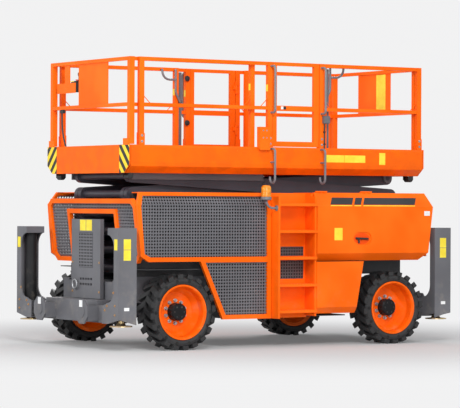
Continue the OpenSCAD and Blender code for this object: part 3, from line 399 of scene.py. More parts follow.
def scatter(tree, start, end, piece):
    """Puts a piece on every point, turned the way the point faces, and closes the tree."""
    way = grow(tree, "GeometryNodeInputNamedAttribute", {"data_type": "FLOAT_VECTOR"}, {"Name": "facing"})
    turn = grow(tree, "FunctionNodeAlignRotationToVector", {"axis": "Z"}, {"Vector": way})
    made = grow(tree, "GeometryNodeInstanceOnPoints", None, {
        "Points": start.outputs["Geometry"], "Instance": piece, "Rotation": turn})
    made = grow(tree, "GeometryNodeRealizeInstances", None, {"Geometry": made})
    made = grow(tree, "GeometryNodeSetMaterial", None, {
        "Geometry": made, "Material": start.outputs["Finish"]})
    tree.links.new(made, end.inputs[0])


def scaled(tree, socket, factor):
    return grow(tree, "ShaderNodeMath", {"operation": "MULTIPLY"}, {0: socket, 1: factor})


WASHER_WIDE = 1.45
WASHER_THIN = 0.3
bolt_tree, bolt_in, bolt_out = new_tree("bolt_heads", [
    ("Radius", "NodeSocketFloat", 0.01), ("Height", "NodeSocketFloat", 0.008),
    ("Sides", "NodeSocketInt", 6), ("Finish", "NodeSocketMaterial", None)])
half_up = scaled(bolt_tree, bolt_in.outputs["Height"], 0.5)
lift_up = grow(bolt_tree, "ShaderNodeCombineXYZ", None, {2: half_up})
head = grow(bolt_tree, "GeometryNodeMeshCylinder", None, {
    "Vertices": bolt_in.outputs["Sides"], "Radius": bolt_in.outputs["Radius"],
    "Depth": bolt_in.outputs["Height"]})
head = grow(bolt_tree, "GeometryNodeTransform", None, {"Geometry": head, "Translation": lift_up})
washer = grow(bolt_tree, "GeometryNodeMeshCylinder", None, {
    "Vertices": 12, "Radius": scaled(bolt_tree, bolt_in.outputs["Radius"], WASHER_WIDE),
    "Depth": scaled(bolt_tree, bolt_in.outputs["Height"], WASHER_THIN)})
bolt = grow(bolt_tree, "GeometryNodeJoinGeometry", None, {0: [head, washer]})
scatter(bolt_tree, bolt_in, bolt_out, bolt)


def bolts(name, places, body, finish, radius, height, sides=6):
    made = shape_by(bolt_tree, facing_points(name, places), name,
                    radius=radius, height=height, sides=sides, finish=finish)
    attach(made, body)


WHEELS = [("front_left", 1, 1), ("front_right", 1, -1), ("rear_left", -1, 1), ("rear_right", -1, -1)]
WHEEL_X = 1.43
WHEEL_Z = 0.419


def round_hub(x_side, y_side, count, circle, face, start=0.0):
    """Points spread round a wheel's axis, each with the way it faces."""
    made = []
    for i in range(count):
        angle = 2 * math.pi * (i + start) / count
        made.append(((x_side * WHEEL_X + circle * math.cos(angle), y_side * face,
                      WHEEL_Z + circle * math.sin(angle)), (0, y_side, 0)))
    return made


rubber = Finish("tyre_rubber")
place = rubber.place()
cloud = rubber.noise(place, 6.0, 5.0, 0.6)
grit = rubber.noise(place, 140.0, 3.0)
tread_dust = rubber.ease(cloud, 0.5, 0.8) * 0.2
rubber_shade = rubber.blend(tread_dust, (0.013, 0.013, 0.014, 1.0), (0.075, 0.068, 0.06, 1.0))
tyre_rubber = rubber.close(rubber_shade, 0.54 + (cloud - 0.5) * 0.25 + tread_dust * 0.3,
                           normal=rubber.bump(grit + cloud * 0.6, 0.25, 0.0012))
# The squared radius at which the black hub cap ends and the orange rim starts.
CAP_RIM, CAP_EDGE = 0.0100, 0.0096
rim_coat = Finish("rim_coat")
place = rim_coat.place()
along, _, up = rim_coat.axes(place)
off = abs(along) - WHEEL_X
drop = up - WHEEL_Z
cap = rim_coat.ease(off * off + drop * drop, CAP_RIM, CAP_EDGE)
cloud = rim_coat.noise(place, 7.0, 5.0, 0.6)
rim_dust = rim_coat.ease(cloud, 0.5, 0.8) * 0.22
rim_shade = rim_coat.blend(rim_coat.ease(cloud, 0.3, 0.7), (0.80, 0.105, 0.004, 1.0), ORANGE)
rim_shade = rim_coat.blend(rim_dust, rim_shade, DUST)
rim_shade = rim_coat.blend(cap, rim_shade, BLACK)
rim_paint = rim_coat.close(rim_shade, 0.34 + (cloud - 0.5) * 0.14 + rim_dust * 0.4,
                           normal=rim_coat.bump(rim_coat.noise(place, 700.0, 1.0), 0.05, 0.0006),
                           **{"Specular IOR Level": ORANGE_GLOSS})
STUDS, STUD_CIRCLE, STUD_FACE = 10, 0.126, 0.998
HUB_BOLTS, HUB_CIRCLE, HUB_FACE = 6, 0.062, 1.096
for name, x_side, y_side in WHEELS:
    dress(tyre_rubber, "tyre_" + name)
    dress(rim_paint, "rim_" + name)
    studs = round_hub(x_side, y_side, STUDS, STUD_CIRCLE, STUD_FACE, 0.5)
    bolts("wheel_studs_" + name, studs, "wheel_" + name, galvanised, 0.015, 0.026)
    cap_bolts = round_hub(x_side, y_side, HUB_BOLTS, HUB_CIRCLE, HUB_FACE)
    bolts("hub_bolts_" + name, cap_bolts, "wheel_" + name, black_paint, 0.008, 0.006)

# Tyre sidewalls. A ring of round openings goes through each solid tyre beside the rim, which
# lets the rubber give a little; each is drawn as a near flat black disc with a moulded lip, whose
# black is painted shade for the dark inside of the opening.


def mesh_object(name, shape, body, finish):
    mesh = bpy.data.meshes.new(name)
    bmesh.ops.recalc_face_normals(shape, faces=shape.faces)
    shape.to_mesh(mesh)
    shape.free()
    mesh.materials.append(finish)
    made = bpy.data.objects.new(name, mesh)
    scene.collection.objects.link(made)
    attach(made, body)
    return made


def lathe(shape, profile, origin, axis, sides):
    """Turns a profile of (radius, height) pairs round an axis and adds it to a mesh."""
    turn = Vector(axis).to_track_quat("Z", "Y").to_matrix()
    rows = []
    for radius, height in profile:
        if radius == 0:
            rows.append([shape.verts.new(Vector(origin) + turn @ Vector((0, 0, height)))])
            continue
        rows.append([shape.verts.new(Vector(origin) + turn @ Vector((
            radius * math.cos(2 * math.pi * i / sides), radius * math.sin(2 * math.pi * i / sides), height)))
            for i in range(sides)])
    for low, high in zip(rows, rows[1:]):
        for i in range(sides):
            j = (i + 1) % sides
            loop = []
            for vert in (low[i % len(low)], low[j % len(low)], high[j % len(high)], high[i % len(high)]):
                if vert not in loop:
                    loop.append(vert)
            shape.faces.new(loop)


# Near black paint used as painted shade: the dark inside of the tyre openings and the dark space behind the
# perforated vent and windows.
pit_black = paint("pit_black", (0.004, 0.004, 0.004, 1.0), 0.9, dust=0.1)
PITS, PIT_CIRCLE, PIT_FACE = 14, 0.3475, 1.1755
PIT_RING = [(0.019, -0.001), (0.019, 0.0012), (0.0155, 0.0018), (0.014, 0.0004), (0.0, 0.0002)]
for name, x_side, y_side in WHEELS:
    pits = bmesh.new()
    for middle, way in round_hub(x_side, y_side, PITS, PIT_CIRCLE, PIT_FACE):
        lathe(pits, PIT_RING, middle, way, 12)
    mesh_object("sidewall_openings_" + name, pits, "wheel_" + name, pit_black)

# Perforated sheets. Punched steel sheet in dark grey fills the tube frames across the front and
# along both sides, and shows what is behind it.
SHEET_PITCH = 0.035
SHEET_HOLE = 0.0120
SHEET_T = 0.004
sheet_tree, sheet_in, sheet_out = new_tree("perforated_sheet", [
    ("Pitch", "NodeSocketFloat", SHEET_PITCH), ("Hole", "NodeSocketFloat", SHEET_HOLE),
    ("Thickness", "NodeSocketFloat", SHEET_T), ("Finish", "NodeSocketMaterial", None)])
square = grow(sheet_tree, "GeometryNodeCurvePrimitiveQuadrilateral", None, {
    "Width": sheet_in.outputs["Pitch"], "Height": sheet_in.outputs["Pitch"]})
hole = grow(sheet_tree, "GeometryNodeCurvePrimitiveCircle", None, {
    "Resolution": 8, "Radius": sheet_in.outputs["Hole"]})
both = grow(sheet_tree, "GeometryNodeJoinGeometry", None, {0: [square, hole]})
cell = grow(sheet_tree, "GeometryNodeFillCurve", None, {"Curve": both})
front_face = grow(sheet_tree, "GeometryNodeExtrudeMesh", None, {
    "Mesh": cell, "Offset Scale": sheet_in.outputs["Thickness"], "Individual": False})
back_face = grow(sheet_tree, "GeometryNodeFlipFaces", None, {"Mesh": cell})
cell = grow(sheet_tree, "GeometryNodeJoinGeometry", None, {0: [front_face, back_face]})
scatter(sheet_tree, sheet_in, sheet_out, cell)


def punched_sheet(name, places, finish, thickness=SHEET_T):
    made = shape_by(sheet_tree, facing_points(name, places), name, finish=finish, thickness=thickness)
    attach(made, "chassis")
    return made


def inside(outline, x, y):
    hit = False
    for (x0, y0), (x1, y1) in zip(outline, outline[1:] + outline[:1]):
        if (y0 > y) != (y1 > y) and x < x0 + (y - y0) / (y1 - y0) * (x1 - x0):
            hit = not hit
    return hit


def cells(outline, at):
    """Cell centres inside an outline, put in place by a function of the two flat coordinates."""
    low = [min(p[i] for p in outline) for i in (0, 1)]
    high = [max(p[i] for p in outline) for i in (0, 1)]
    found = []
    for i in range(int((high[0] - low[0]) / SHEET_PITCH) + 1):
        for j in range(int((high[1] - low[1]) / SHEET_PITCH) + 1):
            flat = (low[0] + (i + 0.5) * SHEET_PITCH, low[1] + (j + 0.5) * SHEET_PITCH)
            if inside(outline, *flat):
                found.append(at(*flat))
    return found


SHEET_Y = 1.010
BEND_Z = 1.600
UPPER = [(0.216, 1.008), (1.773, 1.008), (1.856, 1.053), (1.902, 1.590), (1.880, 1.664), (1.85, 1.745),
         (0.216, 1.745)]
LOWER = [(0.216, 0.358), (0.798, 0.358), (1.072, 0.976), (0.216, 0.976)]
CHAMFER = Vector((0, -0.074, 0.142)).normalized()


def side_point(side):
    def at(x, run):
        if run < BEND_Z:
            return (x, side * SHEET_Y, run), (0, side, 0)
        spot = Vector((x, SHEET_Y, BEND_Z)) + CHAMFER * (run - BEND_Z)
        return (x, side * spot.y, spot.z), (0, side * CHAMFER.z, -CHAMFER.y)
    return at


FRONT = [(0.958, 1.045), (0.958, 1.577), (0.908, 1.632), (-0.908, 1.632), (-0.958, 1.577), (-0.958, 1.045),
         (-0.893, 0.988), (-0.547, 0.988), (-0.547, 1.543), (0.547, 1.543), (0.547, 0.988), (0.893, 0.988)]
FRONT_X, FRONT_Z = 1.880, 1.035
FRONT_SUNK = -0.030
LEAN = math.atan2(0.070, 0.555)


def front_point(y, z):
    rise = z - FRONT_Z
    return ((FRONT_X + FRONT_SUNK * math.cos(LEAN) + rise * math.sin(LEAN), y,
             FRONT_Z - FRONT_SUNK * math.sin(LEAN) + rise * math.cos(LEAN)),
            (math.cos(LEAN), 0, -math.sin(LEAN)))


perforated_grey = paint("perforated_grey", (0.126, 0.124, 0.136, 1.0), 0.5, dust=0.15)
for side, name in ((1, "left"), (-1, "right")):
    punched = cells(UPPER, side_point(side)) + cells(LOWER, side_point(side))
    panel = punched_sheet("side_sheet_" + name, punched, perforated_grey)
    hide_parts("grilles")
panel = punched_sheet("front_sheet", cells(FRONT, front_point), perforated_grey)
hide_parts("grilles")

# Stabiliser columns and front cover. Plate boxes are bolted to the end beams, and blank yellow and
# white plates are riveted where a machine carries its notices.


def plate_paint(name, first, second, rough):
    coat_of = Finish(name)
    place = coat_of.place()
    cloud = coat_of.noise(place, 12.0, 4.0)
    return coat_of.close(
        coat_of.blend(coat_of.ease(cloud, 0.35, 0.7), first, second), rough + (cloud - 0.5) * 0.2,
        normal=coat_of.bump(coat_of.noise(place, 240.0), 0.05, 0.0004))


def blocks(name, boxes, body, finish, edge):
    """Boxes with broken edges, each given by two corners."""
    shape = bmesh.new()
    for low, high in boxes:
        part = bmesh.new()
        bmesh.ops.create_cube(part, size=1.0)
        size = [high[i] - low[i] for i in range(3)]
        for vert in part.verts:
            vert.co = Vector([low[i] + (vert.co[i] + 0.5) * size[i] for i in range(3)])
        broken = min(edge, min(size) * 0.3)
        bmesh.ops.bevel(part, geom=part.edges[:], offset=broken, segments=2, affect="EDGES")
        temporary = bpy.data.meshes.new("part")
        part.to_mesh(temporary)
        part.free()
        shape.from_mesh(temporary)
        bpy.data.meshes.remove(temporary)
    return mesh_object(name, shape, body, finish)


def flipped(low, high, x_side, y_side):
    """A box given at the front left, as it lies at another corner."""
    xs = sorted((x_side * low[0], x_side * high[0]))
    ys = sorted((y_side * low[1], y_side * high[1]))
    return (xs[0], ys[0], low[2]), (xs[1], ys[1], high[2])


def oblong(x0, x1, z0, z1):
    return [(x0, z0), (x1, z0), (x1, z1), (x0, z1)]


yellow_plate = plate_paint("yellow_plate", (0.80, 0.62, 0.03, 1.0), (0.88, 0.72, 0.05, 1.0), 0.42)
white_plate = plate_paint("white_plate", (0.72, 0.73, 0.74, 1.0), (0.80, 0.80, 0.79, 1.0), 0.4)
PLATE_T = 0.0012
PLATE_EDGE = 0.0004
# The outermost plates are let into their faces, so that the machine's box stays as it is.
PLATE_PROUD = 0.00005
COLUMN_FACE = 2.260
COLUMN_SIDE = 1.178
BOSS_FACE = 2.335
side_in, side_out = COLUMN_SIDE - PLATE_T, COLUMN_SIDE + PLATE_PROUD
boss_in, boss_out = BOSS_FACE - PLATE_T, BOSS_FACE + PLATE_PROUD
CORNERS = [(1, 1), (1, -1), (-1, 1), (-1, -1)]
COLUMN_YELLOW = [((2.101, side_in, 0.994), (2.192, side_out, 1.108)),
                 ((2.101, side_in, 1.112), (2.192, side_out, 1.226)),
                 ((COLUMN_FACE, 1.092, 1.105), (COLUMN_FACE + PLATE_T, 1.160, 1.225))]
COLUMN_WHITE = [((2.118, side_in, 0.446), (2.183, side_out, 0.482)),
                ((boss_in, 0.447, 0.470), (boss_out, 0.520, 0.545))]
COLUMN_BOLTS = [(1.075, 0.642), (0.935, 0.495), (1.110, 0.500), (0.890, 0.448), (1.110, 0.400)]
column_plates = [flipped(*box, *corner) for corner in CORNERS for box in COLUMN_YELLOW]
column_whites = [flipped(*box, *corner) for corner in CORNERS for box in COLUMN_WHITE]
column_bolts = [((x_side * COLUMN_FACE, y_side * y, z), (x_side, 0, 0))
                for x_side, y_side in CORNERS for y, z in COLUMN_BOLTS]
blocks("column_plates", column_plates, "chassis", yellow_plate, PLATE_EDGE)
blocks("column_white_plates", column_whites, "chassis", white_plate, PLATE_EDGE)
COVER_FACE = 2.003
column_bolts += [((COVER_FACE, y, z), (1, 0, 0)) for y in (0.306, -0.306) for z in (0.62, 0.95)]
bolts("column_bolts", column_bolts, "chassis", copper_bolt, 0.010, 0.008)
blocks("front_cover_plates", [((COVER_FACE, -0.137, 1.307), (COVER_FACE + PLATE_T, -0.006, 1.429)),
                              ((COVER_FACE, 0.006, 1.307), (COVER_FACE + PLATE_T, 0.136, 1.429))],
       "chassis", yellow_plate, PLATE_EDGE)
VENT_Y, VENT_LOW, VENT_HIGH = 0.1575, 0.897, 1.282
VENT_FACE = COVER_FACE + 0.0010
# A black plate behind the vent is painted shade: it makes the slots look dark like the shaded inside of the
# cover.
vent_back = ((COVER_FACE + 0.0001, -VENT_Y, VENT_LOW), (COVER_FACE + 0.0008, VENT_Y, VENT_HIGH))
blocks("cover_vent_back", [vent_back], "chassis", pit_black, 0.0002)
vent = cells(oblong(-VENT_Y, VENT_Y, VENT_LOW, VENT_HIGH), lambda y, z: ((VENT_FACE, y, z), (1, 0, 0)))
punched_sheet("cover_vent", vent, grey_paint, 0.002)
HOOK_X, HOOK_Y, HOOK_Z, HOOK_R = 2.032, -0.205, 0.70, 0.05
hook = [(1.995, HOOK_Y, HOOK_Z - HOOK_R)]
for step in range(-4, 13):
    angle = step * math.pi / 8
    hook.append((HOOK_X, HOOK_Y + HOOK_R * math.cos(angle), HOOK_Z + HOOK_R * math.sin(angle)))
tubes("cover_hook", [hook], "chassis", galvanised, 0.009, 0.01)

# Ladders. Folded treads with punched grip studs stand one above the other in each recess; two dark
# perforated windows are let into the wall behind them, with black painted shade behind their holes.


def sides_of(boxes):
    """The same boxes on the left and on the right."""
    return [flipped(low, high, 1, y_side) for low, high in boxes for y_side in (1, -1)]


TREADS = [0.413, 0.710, 1.018, 1.320, 1.623]
GRIP = [(-0.31 + i * 0.039, 0.985 + j * 0.042) for i in range(12) for j in range(5)]
grip = [((x, y_side * y, top), (0, 0, 1)) for y_side in (1, -1) for top in TREADS for x, y in GRIP]
cheeks = sides_of([((-0.360, 0.952, 1.700), (-0.336, 1.075, 1.738))])
blocks("ladder_cheek_caps", cheeks, "chassis", orange_paint, 0.001)
bolts("tread_studs", grip, "chassis", orange_paint, 0.008, 0.004, 8)
WINDOW_X0, WINDOW_X1 = -0.311, 0.013
WINDOW_WALL, WINDOW_BACK, WINDOW_FACE = 0.950, 0.9515, 0.9525
windows = []
backs = []
for y_side in (1, -1):
    for low, high in ((1.026, 1.122), (0.765, 0.968)):
        windows += cells(oblong(WINDOW_X0, WINDOW_X1, low, high),
                         lambda x, z: ((x, y_side * WINDOW_FACE, z), (0, y_side, 0)))
        backs.append(flipped((WINDOW_X0, WINDOW_WALL, low), (WINDOW_X1, WINDOW_BACK, high), 1, y_side))
# The black plates behind the windows are painted shade for the dark space behind the wall.
blocks("window_backs", backs, "chassis", pit_black, PLATE_EDGE)
window_grey = paint("window_grey", (0.075, 0.070, 0.074, 1.0), 0.5)
punched_sheet("ladder_windows", windows, window_grey, 0.003)

# Rear covers. Each folded lid has a dark band in three slanted fields on its top chamfer, blank
# yellow and white plates, and a black pull handle in an oval pocket.


def prism(shape, first, second):
    """Adds a solid between two outlines that have the same number of corners."""
    ends = [[shape.verts.new(point) for point in rim] for rim in (first, second)]
    shape.faces.new(ends[0])
    shape.faces.new(ends[1][::-1])
    for i in range(len(first)):
        j = (i + 1) % len(first)
        shape.faces.new((ends[0][i], ends[1][i], ends[1][j], ends[0][j]))


COVER_SIDE = 1.160
BAND_Z = 1.589
BAND = [(-0.900, -0.598), (-1.026, -0.930), (-1.796, -1.058)]
BAND_RUN, BAND_SLANT = (0.026, 0.116), -0.047
RULE_RUN, RULE_SLANT, RULE_SHIFT = (0.008, 0.018), -0.005, 0.044
FIELD_LIFT = (0.0002, 0.0014)
SLOPE = Vector((0, -0.080, 0.160)).normalized()
OUTWARD = Vector((0, 0.160, 0.080)).normalized()


def chamfer_field(shape, x0, x1, low, high, y_side, slant):
    rims = []
    for lift in FIELD_LIFT:
        spots = [Vector((x, COVER_SIDE, BAND_Z)) + SLOPE * run + OUTWARD * lift
                 for x, run in ((x0 - slant, low), (x1 - slant, low), (x1, high), (x0, high))]
        rims.append([(spot.x, y_side * spot.y, spot.z) for spot in spots])
    prism(shape, *rims)


POCKET_X, POCKET_Y, POCKET_Z = -0.994, 1.1466, 1.223
POCKET_HALF_L, POCKET_HALF_H = 0.112, 0.066
PULL = [[(-0.905, 1.159, 1.226), (-1.075, 1.161, 1.219)],
        [(-0.945, 1.146, 1.222), (-0.945, 1.159, 1.222)],
        [(-0.945, 1.157, 1.222), (-0.950, 1.157, 1.170)]]
COVER_PLATE = ((-0.714, COVER_SIDE, 1.205), (-0.602, COVER_SIDE + PLATE_T, 1.345))
COVER_CARD = ((-1.963, COVER_SIDE, 1.487), (-1.882, COVER_SIDE + PLATE_T, 1.541))
# The darker red orange disc on the pocket's floor is painted shade for the recess.
pocket_orange = paint("pocket_orange", (0.80, 0.070, 0.001, 1.0), 0.5, dust=0.05, gloss=ORANGE_GLOSS)
band_coat = paint("band_black", (0.020, 0.019, 0.022, 1.0), 0.38, dust=0.05)
for y_side, name in ((1, "left"), (-1, "right")):
    cover = "rear_cover_" + name
    fields = bmesh.new()
    rules = bmesh.new()
    for x0, x1 in BAND:
        chamfer_field(fields, x0, x1, *BAND_RUN, y_side, BAND_SLANT)
        chamfer_field(rules, x0 + RULE_SHIFT, x1 + RULE_SHIFT, *RULE_RUN, y_side, RULE_SLANT)
    mesh_object("cover_band_" + name, fields, cover, band_coat)
    mesh_object("cover_line_" + name, rules, cover, yellow_plate)
    blocks("cover_plate_" + name, [flipped(*COVER_PLATE, 1, y_side)], cover, yellow_plate,
           PLATE_EDGE)
    blocks("cover_card_" + name, [flipped(*COVER_CARD, 1, y_side)], cover, white_plate,
           PLATE_EDGE)
    pocket = bmesh.new()
    bmesh.ops.create_cone(pocket, cap_ends=True, segments=40, radius1=1.0, radius2=1.0, depth=0.0006)
    for vert in pocket.verts:
        flat = vert.co.copy()
        vert.co = Vector((POCKET_X + flat.x * POCKET_HALF_L, y_side * (POCKET_Y + flat.z),
                          POCKET_Z + flat.y * POCKET_HALF_H))
    mesh_object("cover_pocket_" + name, pocket, cover, pocket_orange)
    tubes("cover_pull_" + name, [[(x, y_side * y, z) for x, y, z in path] for path in PULL],
          cover, black_paint, 0.012, 0.005)

# Beacon. An amber ribbed lens stands on a dark foot; a bent grey tube holds it, and a flange ties
# the tube to the ladder's cheek.


def turned(name, profile, origin, axis, sides, body, finish):
    shape = bmesh.new()
    lathe(shape, profile, origin, axis, sides)
    return mesh_object(name, shape, body, finish)


BEACON_X = 0.315
BEACON_Y = 1.130
BEACON_TUBE_Z = 1.570
LENS_LOW = 1.697
RIBS, RIB_LOW, RIB_STEP = 6, 1.703, 0.017
lens = Finish("amber_lens")
place = lens.place()
cloud = lens.noise(place, 30.0, 3.0)
wave = lens.node("ShaderNodeTexWave", {"wave_type": "BANDS", "bands_direction": "Z"},
                 {"Vector": place, "Scale": 14.0, "Distortion": 0.0}, out=1)
amber_lens = lens.close(
    lens.blend(lens.ease(cloud, 0.3, 0.7), (0.90, 0.27, 0.01, 1.0), (0.98, 0.42, 0.03, 1.0)),
    0.16 + cloud * 0.08, normal=lens.bump(wave, 0.25, 0.002),
    **{"Transmission Weight": 0.35, "IOR": 1.49})
profile = [(0.0, LENS_LOW), (0.0545, LENS_LOW)]
for i in range(RIBS):
    z = RIB_LOW + i * RIB_STEP
    profile += [(0.0565, z), (0.0565, z + 0.009), (0.0545, z + 0.012)]
profile += [(0.0525, 1.808), (0.045, 1.821), (0.030, 1.827), (0.0, 1.828)]
FOOT = [(0.0, 1.657), (0.030, 1.657), (0.059, 1.664), (0.061, 1.672), (0.061, 1.692), (0.056, LENS_LOW),
        (0.0, LENS_LOW)]
FLANGE = [(0.0, 0.0), (0.032, 0.0), (0.032, 0.007), (0.018, 0.012), (0.0, 0.012)]
flange_at = (0.172, BEACON_Y, BEACON_TUBE_Z)
beacon_lens = turned("beacon_lens", profile, (BEACON_X, BEACON_Y, 0), (0, 0, 1), 32,
                     "chassis", amber_lens)
for face in beacon_lens.data.polygons:
    face.use_smooth = True
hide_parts("beacon")
turned("beacon_foot", FOOT, (BEACON_X, BEACON_Y, 0), (0, 0, 1), 32, "chassis", grey_coat)
tubes("beacon_tube", [[flange_at, (BEACON_X, BEACON_Y, BEACON_TUBE_Z), (BEACON_X, BEACON_Y, 1.660)]],
      "chassis", grey_coat, 0.0135, 0.09, 16)
turned("beacon_flange", FLANGE, flange_at, (1, 0, 0), 20, "chassis", grey_coat)

# Platform. The floor is plate with a raised tear pattern, the side panels are folded sheet, and the
# end panels carry yellow and black stripes at their corners.
deck_coat = Finish("deck_paint")
place = deck_coat.place()
cloud = deck_coat.noise(place, 5.0, 5.0)
fine = deck_coat.noise(place, 60.0)
level = deck_coat.axes(deck_coat.node("ShaderNodeNewGeometry", out=1))[2]
tread = deck_coat.ease(level, 0.9, 0.95)
tears = deck_coat.node("ShaderNodeTexChecker", None, {"Vector": place, "Scale": 34.0}, out=1)
grain = deck_coat.node("ShaderNodeTexWave", {"wave_type": "BANDS", "bands_direction": "DIAGONAL"},
                       {"Vector": place, "Scale": 26.0}, out=1)
deck_shade = deck_coat.blend(deck_coat.ease(cloud, 0.35, 0.68), (0.80, 0.115, 0.004, 1.0), ORANGE)
worn = deck_coat.ease(cloud, 0.52, 0.75) * tread * 0.4
deck_shade = deck_coat.blend(worn, deck_shade, (0.30, 0.10, 0.03, 1.0))
deck_paint = deck_coat.close(
    deck_shade, 0.38 + (cloud - 0.5) * 0.2 + worn * 0.3,
    normal=deck_coat.bump(tears * grain * tread + fine * 0.05, 0.3, 0.0015),
    **{"Specular IOR Level": ORANGE_GLOSS})
dress(deck_paint, "platform_deck", "front_deck", "rear_deck")
STRIPE_W, STRIPE_LEAN, STRIPE_SHIFT = 0.077, 1.1, 0.069
stripe = Finish("stripe_tape")
place = stripe.place()
_, across, up = stripe.axes(place)
slant = stripe.node("ShaderNodeMath", {"operation": "PINGPONG"},
                    [up + abs(across) * STRIPE_LEAN - STRIPE_SHIFT, STRIPE_W])
mark = stripe.ease(slant, STRIPE_W * 0.48, STRIPE_W * 0.52)
cloud = stripe.noise(place, 20.0, 5.0)
stripe_tape = stripe.close(
    stripe.blend(mark, (0.86, 0.62, 0.02, 1.0), (0.016, 0.015, 0.014, 1.0)),
    0.4 + (cloud - 0.5) * 0.25, normal=stripe.bump(cloud, 0.04, 0.0005))
STRIPE_PATCH = [(0.722, 1.9545), (0.829, 1.9545), (0.9425, 2.046), (0.9425, 2.2605), (0.722, 2.2605)]
for body, x0, x1 in (("front_extension", 1.9905, 1.9915), ("rear_extension", -2.0315, -2.0305)):
    tape = bmesh.new()
    for y_side in (1, -1):
        prism(tape, *[[(x, y_side * y, z) for y, z in STRIPE_PATCH] for x in (x0, x1)])
    mesh_object(body + "_stripes", tape, body, stripe_tape)
PANEL_Y = 0.945
side_plates = sides_of([((-1.183, PANEL_Y, 2.100), (-0.890, PANEL_Y + PLATE_T, 2.184)),
                        ((-0.886, PANEL_Y, 2.100), (-0.631, PANEL_Y + PLATE_T, 2.184)),
                        ((-1.470, PANEL_Y, 2.080), (-1.384, PANEL_Y + PLATE_T, 2.218))])
blocks("platform_plates", side_plates, "platform", yellow_plate, PLATE_EDGE)
RIVETS, RIVET_X, RIVET_STEP, RIVET_Z = 21, -1.95, 0.195, 2.215
rivets = [((RIVET_X + RIVET_STEP * i, y_side * PANEL_Y, RIVET_Z), (0, y_side, 0))
          for y_side in (1, -1) for i in range(RIVETS)]
bolts("panel_rivets", rivets, "platform", orange_paint, 0.006, 0.004, 10)

# Corner rollers. Black rubber rollers in black brackets sit under the platform's corners and guide
# the roll-out decks.
ROLLER = [(0.0, -0.052), (0.026, -0.052), (0.033, -0.046), (0.034, 0.046), (0.026, 0.052), (0.0, 0.052)]
ROLLER_Y, ROLLER_Z = 0.775, 1.915
BRACKET_HALF = 0.032
rollers = bmesh.new()
brackets = []
for x in (1.905, -1.930):
    for y_side in (1, -1):
        lathe(rollers, ROLLER, (x, y_side * ROLLER_Y, ROLLER_Z), (0, 1, 0), 24)
    for y0, y1, z0, z1 in ((0.712, 0.720, 1.905, 1.9525), (0.826, 0.834, 1.905, 1.9525),
                           (0.712, 0.834, 1.951, 2.034)):
        brackets += sides_of([((x - BRACKET_HALF, y0, z0), (x + BRACKET_HALF, y1, z1))])
mesh_object("corner_rollers", rollers, "platform", tyre_rubber)
blocks("roller_brackets", brackets, "platform", black_paint, 0.002)

# Guard rails. Each square tube post stands between the two plates of a bracket, and two bolts hold
# it there.
POSTS = (1.790, 0.099, -0.612, -2.010)
POST_FOOT = 2.2632
BRACKET_OUT = 0.928
feet = []
foot_bolts = []
for x in POSTS:
    feet += sides_of([((x - 0.006, 0.866, POST_FOOT), (x + 0.066, 0.872, 2.400)),
                      ((x - 0.006, 0.922, POST_FOOT), (x + 0.066, BRACKET_OUT, 2.390))])
    foot_bolts += [((x + 0.030, y_side * BRACKET_OUT, z), (0, y_side, 0))
                   for y_side in (1, -1) for z in (2.300, 2.365)]
blocks("post_brackets", feet, "platform", orange_paint, 0.002)
bolts("post_bolts", foot_bolts, "platform", galvanised, 0.010, 0.008)

# Push handles. A dark square bar stands behind one post of each roll-out deck, and a bent grey tube
# on it is what a person pushes to roll the deck out.
DECK_TOP = 2.125
PUSH_BAR = ((-0.020, 0.802, DECK_TOP), (0.020, 0.842, 3.180))
PUSH_CLAMPS = [((0.066, 0.782, 3.196), (0.086, 0.819, 3.212)), ((0.253, 0.782, 3.196), (0.273, 0.819, 3.212)),
               ((-0.006, 0.782, 2.800), (0.030, 0.803, 2.846))]
PUSH_TUBES = [[(0.076, 3.215), (0.076, 2.940), (0.012, 2.820)],
              [(0.263, 3.215), (0.263, 3.089), (0.076, 3.089)]]
PUSH_Y = 0.785
for body, x_side, y_side, middle in (("front_extension", 1, -1, 0.2775), ("rear_extension", -1, 1, 0.7155)):
    bar, *clamps = [flipped((middle + low[0], *low[1:]), (middle + high[0], *high[1:]), x_side, y_side)
                    for low, high in [PUSH_BAR] + PUSH_CLAMPS]
    paths = [[(x_side * (middle + x), y_side * PUSH_Y, z) for x, z in path] for path in PUSH_TUBES]
    blocks(body + "_push_bar", [bar], body, grey_paint, 0.004)
    tubes(body + "_push_handle", paths, body, grey_coat, 0.0135, 0.10, 14)
    blocks(body + "_push_clamps", clamps, body, black_paint, 0.003)

# Post fittings. Hand knobs on the right side and latches hold the folding rails; thin rods brace the
# mid rails, and blank plates mark the posts beside the gates.
KNOB = [(0.0, 0.0), (0.010, 0.0), (0.010, 0.010), (0.033, 0.012), (0.036, 0.018), (0.033, 0.028),
        (0.012, 0.031), (0.0, 0.031)]
knobs = bmesh.new()
for z in (3.113, 2.583):
    lathe(knobs, KNOB, (0.150, -0.872, z), (0, 1, 0), 8)
mesh_object("hand_knobs", knobs, "platform", black_paint)
BRACE_RUN, BRACE_TOP, BRACE_LOW = 0.085, 2.810, 2.727


def brace(x, y, way_x):
    return [(x, y, BRACE_TOP), (x + way_x * BRACE_RUN, y, BRACE_LOW)]


